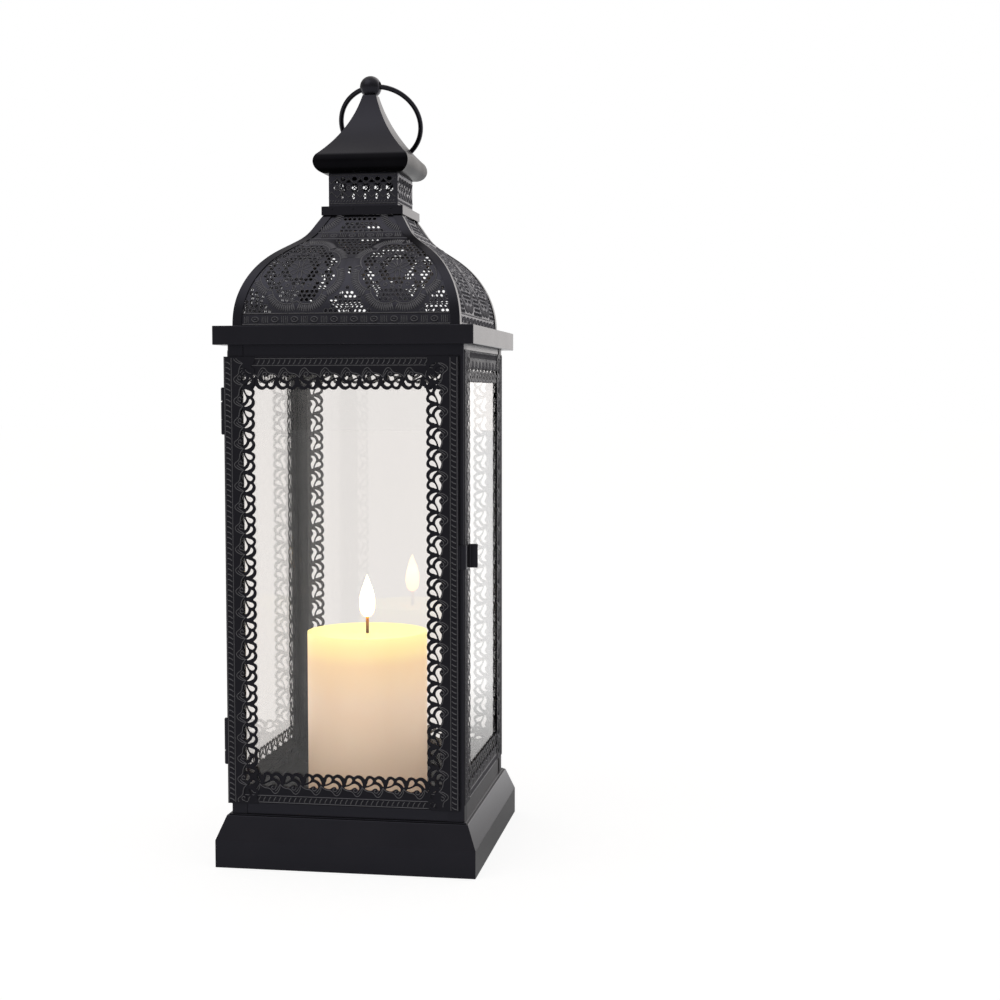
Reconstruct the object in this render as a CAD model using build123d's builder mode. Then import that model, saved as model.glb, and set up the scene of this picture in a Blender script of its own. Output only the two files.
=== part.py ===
"""Square metal lantern with a pierced dome, a glazed door and a pillar candle.

Millimetres, +Z up. The origin is the centre of the base's underside, the door faces -Y
and its hinges are at -X. Sheet and angle iron are soldered into a frame; the laced strips,
panes, door, dome, chimney, cap, hanging ring and battery candle are pieces of their own.
"""

import os
from math import copysign, cos, radians, sin

from build123d import *

# ---- base and floor
PLINTH_BAND = 17.1
SHOULDER_LEDGE = 2.5
SHOULDER_SPLAY = 5.8
SHOULDER_RISE = 14.6
PLINTH_SHEET = 1.0
FOOT_LIP = 8.0
SHELF_LIP = 14.0
FLOOR_SHEET = 0.8
FLOOR_INSET = 1.3

# ---- body frame: four corner angles and eight rails
BODY_HALF = 73.8
BODY_HEIGHT = 291.4
ANGLE_LEG = 10.0
ANGLE_SHEET = 1.2
ANGLE_BEND = 1.5
BOTTOM_RAIL = 12.5
TOP_RAIL = 12.9

# ---- laced strips: one repeat holds a comma slot, an eye and a crescent
LACE_SHEET = 0.5
LACE_WIDTH = 19.9
LACE_REPEAT = 13.0
LACE_SMALL_LOBE = 0.3
LACE_SMALL_LOBE_AT = 3.0
LACE_SMALL_NOTCH = 0.9
LACE_SMALL_NOTCH_AT = 5.85
LACE_BIG_LOBE_AT = 9.1
LACE_BIG_NOTCH = 2.4
COMMA_LENGTH, COMMA_WIDTH, COMMA_TURN = 5.4, 2.6, 8.0
COMMA_EDGE, COMMA_AT = 12.6, 4.6
EYE_RADIUS = 1.7
EYE_EDGE, EYE_AT = 16.3, 3.2
CRESCENT_LENGTH, CRESCENT_WIDTH, CRESCENT_TURN = 2.6, 1.6, -48.0
CRESCENT_EDGE, CRESCENT_AT = 16.0, 9.1
LACE_CORNER_MARGIN = 1.4
LACE_RISE = 10.0
LACE_DROP = 3.1

# ---- glazing
GLASS = 1.6
PANE_LAP = 4.0
CLIP_SHEET = 0.8
CLIP_WIDTH = 8.0
CLIP_GRIP = 6.0
CLIP_FOOT = 2.0
CLIP_SPREAD = 84.0
GLASS_GAP = 0.1

# ---- door
DOOR_HINGE_OVERHANG = 1.2
DOOR_LATCH_SETBACK = 2.8
DOOR_SILL = 7.2
DOOR_HEAD = 7.1
DOOR_DEPTH = 3.3
DOOR_GAP = 0.3
TRAY_SHEET = 0.6
TRAY_LIP = 6.0

# ---- hinges
KNUCKLE_RADIUS = 1.3
KNUCKLE_CLEARANCE = 0.05
PIN_RADIUS = 0.65
PIN_CLEARANCE = 0.05
PIN_HEAD_RADIUS, PIN_HEAD = 0.95, 0.5
LONG_KNUCKLE, MIDDLE_KNUCKLE, SHORT_KNUCKLE = 8.6, 10.8, 7.8
TIGHT_JOINT, SLACK_JOINT = 0.1, 0.7
LEAF_SHEET = 0.5
LEAF_DEPTH = 11.0
DOOR_LEAF_MARGIN = 1.4
HINGE_FROM_TOP = 19.3
HINGE_FROM_BOTTOM = 24.6

# ---- latch: one spring strip folded round the corner post
LATCH_SHEET = 0.7
LATCH_HEIGHT = 14.6
LATCH_RISE = 148.3
LATCH_REACH = 11.9
LATCH_THUMB = 5.4
LATCH_BENDS = [0.5, 2.0, 1.2]
LATCH_GAP = 0.3

# ---- cornice, dome, collar and chimney
CORNICE_REACH = 7.1
CORNICE_HEIGHT = 11.6
CORNICE_SHEET = 1.0
CORNICE_LEDGE = 7.3
DOME_SHEET = 1.0
DOME_HEIGHT = 71.6
DOME_SETBACK = 10.6
DOME_NECK_HALF = 24.6
# the ogee between foot and neck: share of the way out, share of the height
DOME_CURVE = [(0.967, 0.211), (0.823, 0.444), (0.532, 0.654), (0.2144, 0.8017)]
RIB_SHEET = 0.8
RIB_WIDTH = 5.0
COLLAR_HALF = 26.4
COLLAR_HEIGHT = 5.6
COLLAR_HOLE_HALF = 19.0
CHIMNEY_HALF = 22.4
CHIMNEY_HEIGHT = 20.8
CHIMNEY_SHEET = 0.8
CHIMNEY_WINDOWS = 6
CHIMNEY_WINDOW = 3.6
CHIMNEY_WINDOW_PITCH = 7.0

# ---- cap, ball and ring
CAP_SHEET = 1.0
CAP_SEAT_HALF = 24.0
BULLNOSE_RADIUS = 5.6
BULLNOSE_CENTRE = (25.1, 6.9)
CAP_SHOULDER = (29.0, 11.9)
CAP_WAIST = (14.2, 29.7)
CAP_TOP_HALF = 4.4
CAP_HEIGHT = 52.2
CAP_HOLE_HALF = 17.0
CAP_TOP_WALL = 4.2
CAP_NOSE_WALL = 2.1
CAP_SHOULDER_WALL = 5.0
CAP_SHOULDER_THROAT = 3.0
CAP_WAIST_WALL = 1.4
CAP_TIP_WALL = 0.4
BALL_RADIUS = 7.0
BALL_SINK = 1.4
SCREW_RADIUS = 1.5
SCREW_CLEARANCE = 0.05
SCREW_GRIP = 2.9
SCREW_HEAD_RADIUS, SCREW_HEAD = 2.6, 2.0
RING_RADIUS = 26.3
RING_WIRE = 1.6
RING_CLEARANCE = 0.08
RING_LEAN = 33.9
RING_TILT = 7.0

# ---- battery candle
CANDLE_RADIUS = 39.25
CANDLE_HEIGHT = 105.9
CANDLE_SHIFT = -4.0
CANDLE_DISH = 1.6
CANDLE_DISH_RIM = 2.4
WICK_RADIUS = 1.0
WICK_RISE = 9.4
FLAME_HEIGHT = 27.8
FLAME_RADIUS = 5.0
FLAME_BELLY = 8.0
FLAME_FOOT = 1.6
HOUSING_RADIUS = 35.5
HOUSING_HEIGHT = 21.0
HOUSING_RAISE = 0.5
HOUSING_CLEARANCE = 0.2
BAY_LENGTH, BAY_WIDTH, BAY_DEPTH = 52.0, 30.4, 17.5
BAY_SHIFT = 4.0
COVER_SHEET = 1.5
COVER_LEDGE = 1.5
COVER_CLEARANCE = 0.2
CELL_RADIUS, CELL_LENGTH = 7.1, 50.0
CELL_PITCH = 15.0
SWITCH_LENGTH, SWITCH_WIDTH, SWITCH_HEIGHT = 5.0, 3.0, 2.4
SWITCH_TRAVEL = 3.0
SWITCH_OFFSET = 24.0
SWITCH_CLEARANCE = 0.2

# ---- levels and planes that follow from the sizes above
SHOULDER_HALF = BODY_HALF + SHOULDER_LEDGE
PLINTH_HALF = SHOULDER_HALF + SHOULDER_SPLAY
CORNICE_HALF = BODY_HALF + CORNICE_REACH
DOME_FOOT_HALF = CORNICE_HALF - DOME_SETBACK
CORNICE_HOLE_HALF = DOME_FOOT_HALF - CORNICE_LEDGE
SHOULDER_TOP = PLINTH_BAND + SHOULDER_RISE
FLOOR_TOP = SHOULDER_TOP + FLOOR_SHEET
BODY_TOP = FLOOR_TOP + BODY_HEIGHT
CORNICE_TOP = BODY_TOP + CORNICE_HEIGHT
DOME_TOP = CORNICE_TOP + DOME_HEIGHT
COLLAR_TOP = DOME_TOP + COLLAR_HEIGHT
CHIMNEY_TOP = COLLAR_TOP + CHIMNEY_HEIGHT
CAP_TOP = CHIMNEY_TOP + CAP_HEIGHT
BALL_CENTRE = Vector(0, 0, CAP_TOP + BALL_RADIUS - BALL_SINK)
RAIL_SPAN = 2 * (BODY_HALF - ANGLE_LEG)

CORNERS = {
    "front_left": (-1, -1),
    "front_right": (1, -1),
    "back_left": (-1, 1),
    "back_right": (1, 1),
}
OUTWARD = {
    "front": Vector(0, -1, 0),
    "right": Vector(1, 0, 0),
    "back": Vector(0, 1, 0),
    "left": Vector(-1, 0, 0),
}


def wall_plane(side, distance):
    """A wall's plane: local x runs to the right seen from outside, local y is height."""
    outward = OUTWARD[side]
    right = Vector(0, 0, 1).cross(outward)
    return Plane(origin=outward * distance, x_dir=right, z_dir=outward)


def side_sector(outward, reach):
    """The quarter of a square that belongs to one side, out to reach."""
    right = Vector(0, 0, 1).cross(outward)
    far_right = (outward + right) * reach
    far_left = (outward - right) * reach
    return Polygon((0, 0), (far_right.X, far_right.Y), (far_left.X, far_left.Y), align=None)


def save(piece, name):
    """Label a finished piece and write it as its own STEP file."""
    piece.part.label = name
    export_step(piece.part, f"parts/{name}.step")


os.makedirs("parts", exist_ok=True)

# ---------------------------------------------------------------- base
# Plinth of four folded sheets mitred and soldered at the corners: upright band, sloping
# shoulder, a lip turned in at the foot to stand on and a wider one that carries the floor.
with BuildPart() as plinth_shell:
    with BuildSketch():
        Rectangle(2 * PLINTH_HALF, 2 * PLINTH_HALF)
    extrude(amount=PLINTH_BAND)
    with BuildSketch(Plane.XY.offset(PLINTH_BAND)):
        Rectangle(2 * PLINTH_HALF, 2 * PLINTH_HALF)
    with BuildSketch(Plane.XY.offset(SHOULDER_TOP)):
        Rectangle(2 * SHOULDER_HALF, 2 * SHOULDER_HALF)
    loft()
    hollow_half = PLINTH_HALF - PLINTH_SHEET
    with BuildSketch(Plane.XY.offset(PLINTH_SHEET)):
        Rectangle(2 * hollow_half, 2 * hollow_half)
    extrude(amount=PLINTH_BAND - PLINTH_SHEET, mode=Mode.SUBTRACT)
    shoulder_half = SHOULDER_HALF - PLINTH_SHEET
    with BuildSketch(Plane.XY.offset(PLINTH_BAND)):
        Rectangle(2 * hollow_half, 2 * hollow_half)
    with BuildSketch(Plane.XY.offset(SHOULDER_TOP - PLINTH_SHEET)):
        Rectangle(2 * shoulder_half, 2 * shoulder_half)
    loft(mode=Mode.SUBTRACT)
    with BuildSketch():
        Rectangle(2 * (PLINTH_HALF - FOOT_LIP), 2 * (PLINTH_HALF - FOOT_LIP))
    extrude(amount=PLINTH_SHEET, mode=Mode.SUBTRACT)
    with BuildSketch(Plane.XY.offset(SHOULDER_TOP - PLINTH_SHEET)):
        Rectangle(2 * (SHOULDER_HALF - SHELF_LIP), 2 * (SHOULDER_HALF - SHELF_LIP))
    extrude(amount=PLINTH_SHEET, mode=Mode.SUBTRACT)
for side, outward in OUTWARD.items():
    with BuildPart() as base_panel:
        add(plinth_shell)
        with BuildSketch():
            side_sector(outward, PLINTH_HALF)
        extrude(amount=SHOULDER_TOP, mode=Mode.INTERSECT)
    save(base_panel, f"base_panel_{side}")

# Floor: a flat sheet on the plinth's shelf. The frame stands on it, and so does the candle.
with BuildPart() as floor_plate:
    with BuildSketch(Plane.XY.offset(SHOULDER_TOP)):
        Rectangle(2 * (SHOULDER_HALF - FLOOR_INSET), 2 * (SHOULDER_HALF - FLOOR_INSET))
    extrude(amount=FLOOR_SHEET)
save(floor_plate, "floor_plate")

# ---------------------------------------------------------------- body frame
# Corner posts: bent angles with their legs along the two walls that they join.
for corner, (sx, sy) in CORNERS.items():
    with BuildPart() as corner_post:
        with BuildSketch(Plane.XY.offset(FLOOR_TOP)) as angle:
            legs_align = (Align.MAX if sx > 0 else Align.MIN, Align.MAX if sy > 0 else Align.MIN)
            with Locations((sx * BODY_HALF, sy * BODY_HALF)):
                Rectangle(ANGLE_LEG, ANGLE_LEG, align=legs_align)
            inner_edge = BODY_HALF - ANGLE_SHEET
            with Locations((sx * inner_edge, sy * inner_edge)):
                Rectangle(ANGLE_LEG, ANGLE_LEG, align=legs_align, mode=Mode.SUBTRACT)
            outer_corner = Vector(sx * BODY_HALF, sy * BODY_HALF)
            bend = angle.vertices().sort_by_distance(outer_corner)[0]
            fillet(bend, ANGLE_BEND)
            inner_corner = Vector(sx * inner_edge, sy * inner_edge)
            crook = angle.vertices().sort_by_distance(inner_corner)[0]
            fillet(crook, ANGLE_BEND - ANGLE_SHEET)
        extrude(amount=BODY_HEIGHT)
    save(corner_post, f"corner_post_{corner}")

# Rails: flat strips between the posts, set back by one lace sheet.
RAIL_SHEET = ANGLE_SHEET - LACE_SHEET
for side in OUTWARD:
    for level, height, middle in (
        ("bottom", BOTTOM_RAIL, FLOOR_TOP + BOTTOM_RAIL / 2),
        ("top", TOP_RAIL, BODY_TOP - TOP_RAIL / 2),
    ):
        with BuildPart() as frame_rail:
            with BuildSketch(wall_plane(side, BODY_HALF - LACE_SHEET)):
                with Locations((0, middle)):
                    Rectangle(RAIL_SPAN, height)
            extrude(amount=-RAIL_SHEET)
        save(frame_rail, f"{level}_rail_{side}")


# ---------------------------------------------------------------- laced strips
def lace_strip(length):
    """Pierced strip: x runs along it, y from its plain edge to its lobes, its face at z 0."""
    repeats = max(1, round(length / LACE_REPEAT))
    step = length / repeats
    stretch = step / LACE_REPEAT
    starts = [repeat * step for repeat in range(repeats)]
    notch = LACE_WIDTH - LACE_BIG_NOTCH
    with BuildPart() as strip:
        with BuildSketch():
            with BuildLine():
                for start in starts:
                    small_lobe = (
                        start + LACE_SMALL_LOBE_AT * stretch, LACE_WIDTH - LACE_SMALL_LOBE
                    )
                    waist = (
                        start + LACE_SMALL_NOTCH_AT * stretch, LACE_WIDTH - LACE_SMALL_NOTCH
                    )
                    big_lobe = (start + LACE_BIG_LOBE_AT * stretch, LACE_WIDTH)
                    ThreePointArc((start, notch), small_lobe, waist)
                    ThreePointArc(waist, big_lobe, (start + step, notch))
                Polyline((length, notch), (length, 0), (0, 0), (0, notch))
            make_face()
            with Locations(*[(start + COMMA_AT * stretch, COMMA_EDGE) for start in starts]):
                SlotCenterToCenter(
                    COMMA_LENGTH, COMMA_WIDTH, rotation=COMMA_TURN, mode=Mode.SUBTRACT
                )
            with Locations(*[(start + EYE_AT * stretch, EYE_EDGE) for start in starts]):
                Circle(EYE_RADIUS, mode=Mode.SUBTRACT)
            with Locations(*[(start + CRESCENT_AT * stretch, CRESCENT_EDGE) for start in starts]):
                SlotCenterToCenter(
                    CRESCENT_LENGTH, CRESCENT_WIDTH, rotation=CRESCENT_TURN, mode=Mode.SUBTRACT
                )
        extrude(amount=-LACE_SHEET)
    return strip.part


def strip_plane(wall, edge, left, right, low, high):
    """Where a strip starts on a wall. The run goes round the window: down, right, up, left."""
    start, along = {
        "left": ((left, high), -wall.y_dir),
        "bottom": ((left, low), wall.x_dir),
        "right": ((right, low), wall.y_dir),
        "top": ((right, high), -wall.x_dir),
    }[edge]
    return Plane(origin=wall.from_local_coords(start), x_dir=along, z_dir=wall.z_dir)


# Fixed walls: uprights lie on the posts, cross strips on the rails between the posts.
LACE_LOW = FLOOR_TOP + LACE_RISE
LACE_HIGH = BODY_TOP - LACE_DROP
LACE_HALF = BODY_HALF - LACE_CORNER_MARGIN
upright_strip = lace_strip(LACE_HIGH - LACE_LOW)
cross_strip = lace_strip(RAIL_SPAN)
for side in ("left", "right", "back"):
    upright_wall = wall_plane(side, BODY_HALF + LACE_SHEET)
    with BuildPart() as uprights:
        for edge in ("left", "right"):
            start = strip_plane(upright_wall, edge, -LACE_HALF, LACE_HALF, LACE_LOW, LACE_HIGH)
            with Locations(start):
                add(upright_strip)
    save(uprights, f"lace_uprights_{side}")

    cross_wall = wall_plane(side, BODY_HALF)
    with BuildPart() as crosses:
        for edge in ("bottom", "top"):
            start = strip_plane(
                cross_wall, edge, -RAIL_SPAN / 2, RAIL_SPAN / 2, LACE_LOW, LACE_HIGH
            )
            with Locations(start):
                add(cross_strip)
    save(crosses, f"lace_crosses_{side}")

# ---------------------------------------------------------------- fixed panes
# Each pane lies against the inner faces of its posts and rails.
PANE_HALF = BODY_HALF - ANGLE_SHEET - GLASS - 2 * GLASS_GAP
PANE_LOW = FLOOR_TOP + BOTTOM_RAIL - PANE_LAP
PANE_HIGH = BODY_TOP - TOP_RAIL + PANE_LAP
for side in ("left", "right", "back"):
    with BuildPart() as pane:
        with BuildSketch(wall_plane(side, BODY_HALF - ANGLE_SHEET)):
            with Locations((0, (PANE_LOW + PANE_HIGH) / 2)):
                Rectangle(2 * PANE_HALF, PANE_HIGH - PANE_LOW)
        extrude(amount=-GLASS)
    save(pane, f"glass_{side}")

# Clips: a foot soldered to the rail above or below the pane, and a tongue behind the glass.
CLIP_REACH = GLASS + GLASS_GAP + CLIP_SHEET
with BuildPart() as glass_clips:
    for side in ("left", "right", "back"):
        for edge, away in ((PANE_LOW, -1), (PANE_HIGH, 1)):
            foot = edge + away * (GLASS_GAP + CLIP_FOOT / 2)
            with BuildSketch(wall_plane(side, BODY_HALF - ANGLE_SHEET)):
                with Locations((-CLIP_SPREAD / 2, foot), (CLIP_SPREAD / 2, foot)):
                    Rectangle(CLIP_WIDTH, CLIP_FOOT)
            extrude(amount=-CLIP_REACH)
            tongue = CLIP_GRIP + GLASS_GAP + CLIP_FOOT
            middle = edge + away * (GLASS_GAP + CLIP_FOOT - tongue / 2)
            with BuildSketch(wall_plane(side, BODY_HALF - ANGLE_SHEET - GLASS - GLASS_GAP)):
                with Locations((-CLIP_SPREAD / 2, middle), (CLIP_SPREAD / 2, middle)):
                    Rectangle(CLIP_WIDTH, tongue)
            extrude(amount=-CLIP_SHEET)
save(glass_clips, "glass_clips")

# ---------------------------------------------------------------- door
# A shallow tray mitred at its corners: a side wall all round and a lip behind the glass.
DOOR_LOW = FLOOR_TOP + DOOR_SILL
DOOR_HIGH = BODY_TOP - DOOR_HEAD
DOOR_MIDDLE = (DOOR_LOW + DOOR_HIGH) / 2
DOOR_BACK = BODY_HALF + DOOR_GAP
DOOR_FRONT = DOOR_BACK + DOOR_DEPTH
DOOR_LEFT = -(BODY_HALF + DOOR_HINGE_OVERHANG)
DOOR_RIGHT = BODY_HALF - DOOR_LATCH_SETBACK
DOOR_WIDTH = DOOR_RIGHT - DOOR_LEFT
DOOR_SHIFT = (DOOR_LEFT + DOOR_RIGHT) / 2
door_plane = Plane(
    origin=(DOOR_SHIFT, -DOOR_BACK, DOOR_MIDDLE), x_dir=(1, 0, 0), z_dir=(0, -1, 0)
)


def mitred_edge(number, half_width, half_height, depth):
    """One edge of a rectangular frame, cut at 45 degrees at both of its ends."""
    outer = [
        (-half_width, -half_height),
        (half_width, -half_height),
        (half_width, half_height),
        (-half_width, half_height),
    ]
    inner = [(x - copysign(depth, x), y - copysign(depth, y)) for x, y in outer]
    after = (number + 1) % 4
    return outer[number], outer[after], inner[after], inner[number]


tray_half = (DOOR_WIDTH / 2, (DOOR_HIGH - DOOR_LOW) / 2)
for number, name in enumerate(
    ("door_rail_bottom", "door_stile_right", "door_rail_top", "door_stile_left")
):
    with BuildPart() as door_member:
        with BuildSketch(door_plane):
            Polygon(*mitred_edge(number, *tray_half, TRAY_LIP), align=None)
        extrude(amount=TRAY_SHEET)
        with BuildSketch(door_plane):
            Polygon(*mitred_edge(number, *tray_half, TRAY_SHEET), align=None)
        extrude(amount=DOOR_DEPTH - LACE_SHEET)
    save(door_member, name)

# The same laced strips face the door: uprights in front, cross strips behind them.
door_upright = lace_strip(DOOR_HIGH - DOOR_LOW)
door_cross = lace_strip(DOOR_WIDTH - 2 * TRAY_SHEET)
for edge, strip, inset, layer in (
    ("left", door_upright, 0, 0),
    ("right", door_upright, 0, 0),
    ("top", door_cross, TRAY_SHEET, LACE_SHEET),
    ("bottom", door_cross, TRAY_SHEET, LACE_SHEET),
):
    front = wall_plane("front", DOOR_FRONT - layer)
    window = (DOOR_LEFT + inset, DOOR_RIGHT - inset, DOOR_LOW + inset, DOOR_HIGH - inset)
    with BuildPart() as door_lace:
        with Locations(strip_plane(front, edge, *window)):
            add(strip)
    save(door_lace, f"door_lace_{edge}")

with BuildPart() as door_glass:
    pane_front = DOOR_FRONT - 2 * LACE_SHEET
    pane_margin = 2 * (TRAY_SHEET + GLASS_GAP)
    with BuildSketch(wall_plane("front", pane_front)):
        with Locations((DOOR_SHIFT, DOOR_MIDDLE)):
            Rectangle(DOOR_WIDTH - pane_margin, DOOR_HIGH - DOOR_LOW - pane_margin)
    extrude(amount=-GLASS)
save(door_glass, "door_glass")

# ---------------------------------------------------------------- hinges
# Two butt hinges. The outer knuckles and the pin stay with the post, the middle knuckle
# turns with the door. The lower hinge is fitted upside down.
HINGE_X = DOOR_LEFT - KNUCKLE_CLEARANCE - KNUCKLE_RADIUS
HINGE_Y = -(DOOR_BACK + LEAF_SHEET)
HINGE_HEIGHT = LONG_KNUCKLE + TIGHT_JOINT + MIDDLE_KNUCKLE + SLACK_JOINT + SHORT_KNUCKLE
UPPER_HINGE = (DOOR_HIGH - HINGE_FROM_TOP - HINGE_HEIGHT, (LONG_KNUCKLE, SHORT_KNUCKLE), 1)
LOWER_HINGE = (DOOR_LOW + HINGE_FROM_BOTTOM, (SHORT_KNUCKLE, LONG_KNUCKLE), -1)


def knuckle_levels(hinge):
    """Bottom and top of the three knuckles, lowest first."""
    low, (bottom, top), way = hinge
    first_joint, second_joint = (TIGHT_JOINT, SLACK_JOINT)[::way]
    middle = low + bottom + first_joint
    last = middle + MIDDLE_KNUCKLE + second_joint
    return (low, low + bottom), (middle, middle + MIDDLE_KNUCKLE), (last, last + top)


post_leaf_back = -(BODY_HALF + LACE_SHEET)
with BuildPart() as hinge_leaves_post:
    for hinge in (UPPER_HINGE, LOWER_HINGE):
        lower, middle, upper = knuckle_levels(hinge)
        with BuildSketch(Plane.XY.offset(lower[0])):
            with Locations((post_leaf_back, -BODY_HALF)):
                Rectangle(LEAF_SHEET, LEAF_DEPTH, align=(Align.MAX, Align.MIN))
        extrude(amount=HINGE_HEIGHT)
        for low, high in (lower, upper):
            with BuildSketch(Plane.XY.offset(low)):
                with Locations((HINGE_X, HINGE_Y)):
                    Circle(KNUCKLE_RADIUS)
                neck_back = HINGE_Y + KNUCKLE_RADIUS
                with Locations((HINGE_X, neck_back)):
                    Rectangle(
                        post_leaf_back - HINGE_X, LEAF_SHEET, align=(Align.MIN, Align.MAX)
                    )
                with Locations((HINGE_X, HINGE_Y)):
                    Circle(PIN_RADIUS + PIN_CLEARANCE, mode=Mode.SUBTRACT)
            extrude(amount=high - low)
save(hinge_leaves_post, "hinge_leaves_post")

with BuildPart() as hinge_leaves_door:
    for hinge in (UPPER_HINGE, LOWER_HINGE):
        lower, middle, upper = knuckle_levels(hinge)
        leaf_front = -(DOOR_FRONT - LACE_SHEET)
        with BuildSketch(Plane.XY.offset(lower[0])):
            with Locations((DOOR_LEFT, leaf_front)):
                Rectangle(
                    LEAF_SHEET, HINGE_Y - DOOR_LEAF_MARGIN - leaf_front, align=(Align.MAX, Align.MIN)
                )
        extrude(amount=HINGE_HEIGHT)
        with BuildSketch(Plane.XY.offset(middle[0])):
            with Locations((DOOR_LEFT, leaf_front)):
                Rectangle(LEAF_SHEET, HINGE_Y - leaf_front, align=(Align.MAX, Align.MIN))
            with Locations((HINGE_X, HINGE_Y)):
                Circle(KNUCKLE_RADIUS)
                Circle(PIN_RADIUS + PIN_CLEARANCE, mode=Mode.SUBTRACT)
        extrude(amount=middle[1] - middle[0])
save(hinge_leaves_door, "hinge_leaves_door")

with BuildPart() as hinge_pins:
    for low in (UPPER_HINGE[0], LOWER_HINGE[0]):
        with BuildSketch(Plane.XY.offset(low - PIN_HEAD)):
            with Locations((HINGE_X, HINGE_Y)):
                Circle(PIN_HEAD_RADIUS)
        extrude(amount=PIN_HEAD)
        with BuildSketch(Plane.XY.offset(low)):
            with Locations((HINGE_X, HINGE_Y)):
                Circle(PIN_RADIUS)
        extrude(amount=HINGE_HEIGHT)
        with BuildSketch(Plane.XY.offset(low + HINGE_HEIGHT)):
            with Locations((HINGE_X, HINGE_Y)):
                Circle(PIN_HEAD_RADIUS)
        extrude(amount=PIN_HEAD)
save(hinge_pins, "hinge_pins")

# ---------------------------------------------------------------- latch
# Spring strip: its foot is soldered to the door's side wall, the strip crosses the post,
# turns back along the side and ends in a thumb tab.
LATCH_FRONT = -(BODY_HALF + LATCH_GAP + LATCH_SHEET / 2)
LATCH_SIDE = BODY_HALF + LACE_SHEET + LATCH_GAP + LATCH_SHEET / 2
LATCH_FOOT = DOOR_RIGHT + LATCH_SHEET / 2
with BuildPart() as door_latch:
    with BuildSketch(Plane.XY.offset(FLOOR_TOP + LATCH_RISE + DOOR_SILL)):
        with BuildLine() as latch_line:
            FilletPolyline(
                (LATCH_FOOT, -(DOOR_FRONT - LACE_SHEET)),
                (LATCH_FOOT, LATCH_FRONT),
                (LATCH_SIDE, LATCH_FRONT),
                (LATCH_SIDE, LATCH_FRONT + LATCH_REACH),
                (LATCH_SIDE + LATCH_THUMB, LATCH_FRONT + LATCH_REACH),
                radius=LATCH_BENDS,
            )
        trace(line_width=LATCH_SHEET)
    extrude(amount=LATCH_HEIGHT)
save(door_latch, "door_latch")

# ---------------------------------------------------------------- cornice
with BuildPart() as cornice:
    with BuildSketch(Plane.XY.offset(BODY_TOP)):
        Rectangle(2 * CORNICE_HALF, 2 * CORNICE_HALF)
        Rectangle(2 * CORNICE_HOLE_HALF, 2 * CORNICE_HOLE_HALF, mode=Mode.SUBTRACT)
    extrude(amount=CORNICE_HEIGHT)
    with BuildSketch(Plane.XY.offset(BODY_TOP + CORNICE_SHEET)):
        channel_half = CORNICE_HALF - CORNICE_SHEET
        Rectangle(2 * channel_half, 2 * channel_half)
    extrude(amount=CORNICE_HEIGHT - 2 * CORNICE_SHEET, mode=Mode.SUBTRACT)
save(cornice, "cornice")


# ---------------------------------------------------------------- dome
def dome_points(shift):
    """The ogee from foot to neck, moved in or out by shift."""
    swell = DOME_FOOT_HALF - DOME_NECK_HALF
    points = [(1, 0), *DOME_CURVE, (0, 1)]
    return [
        (DOME_NECK_HALF + out * swell + shift, CORNICE_TOP + up * DOME_HEIGHT)
        for out, up in points
    ]


def dome_prism(plane, shift):
    """All that lies under the ogee seen along one axis, as long as the dome is wide."""
    points = dome_points(shift)
    with BuildPart() as prism:
        with BuildSketch(plane):
            with BuildLine():
                Spline(*points, tangents=[(0, 1), (-1, 1.5)])
                Polyline(points[-1], (0, points[-1][1]), (0, points[0][1]), points[0])
            make_face()
            mirror(about=Plane.YZ)
        extrude(amount=PLINTH_HALF, both=True)
    return prism.part


def dome_body(shift):
    """The four-sided dome: the ogee seen along X and along Y at once."""
    with BuildPart() as body:
        add(dome_prism(Plane.XZ, shift))
        add(dome_prism(Plane.YZ, shift), mode=Mode.INTERSECT)
    return body.part


# Panels: each is one side of the dome, cut at 45 degrees where it meets its neighbours.
panel_reach = DOME_FOOT_HALF + RIB_SHEET
dome_outside = dome_body(0)
with BuildPart() as dome_shell:
    add(dome_outside)
    add(dome_body(-DOME_SHEET), mode=Mode.SUBTRACT)
for side, outward in OUTWARD.items():
    with BuildPart() as dome_panel:
        add(dome_shell)
        with BuildSketch(Plane.XY.offset(CORNICE_TOP)):
            side_sector(outward, panel_reach)
        extrude(amount=DOME_HEIGHT, mode=Mode.INTERSECT)
    save(dome_panel, f"dome_panel_{side}")

# Ribs: folded strips over the four hips, RIB_WIDTH wide on either side of the hip.
with BuildPart() as rib_cross:
    add(dome_body(RIB_SHEET))
    add(dome_outside, mode=Mode.SUBTRACT)
    add(dome_prism(Plane.XZ, -RIB_WIDTH), mode=Mode.SUBTRACT)
    add(dome_prism(Plane.YZ, -RIB_WIDTH), mode=Mode.SUBTRACT)
for corner, (sx, sy) in CORNERS.items():
    with BuildPart() as dome_rib:
        add(rib_cross)
        with BuildSketch(Plane.XY.offset(CORNICE_TOP)):
            with Locations((sx * panel_reach / 2, sy * panel_reach / 2)):
                Rectangle(panel_reach, panel_reach)
        extrude(amount=DOME_HEIGHT, mode=Mode.INTERSECT)
    save(dome_rib, f"dome_rib_{corner}")

# ---------------------------------------------------------------- collar and chimney
with BuildPart() as collar:
    with BuildSketch(Plane.XY.offset(DOME_TOP)):
        Rectangle(2 * COLLAR_HALF, 2 * COLLAR_HALF)
        Rectangle(2 * COLLAR_HOLE_HALF, 2 * COLLAR_HOLE_HALF, mode=Mode.SUBTRACT)
    extrude(amount=COLLAR_HEIGHT)
save(collar, "collar")

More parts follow.
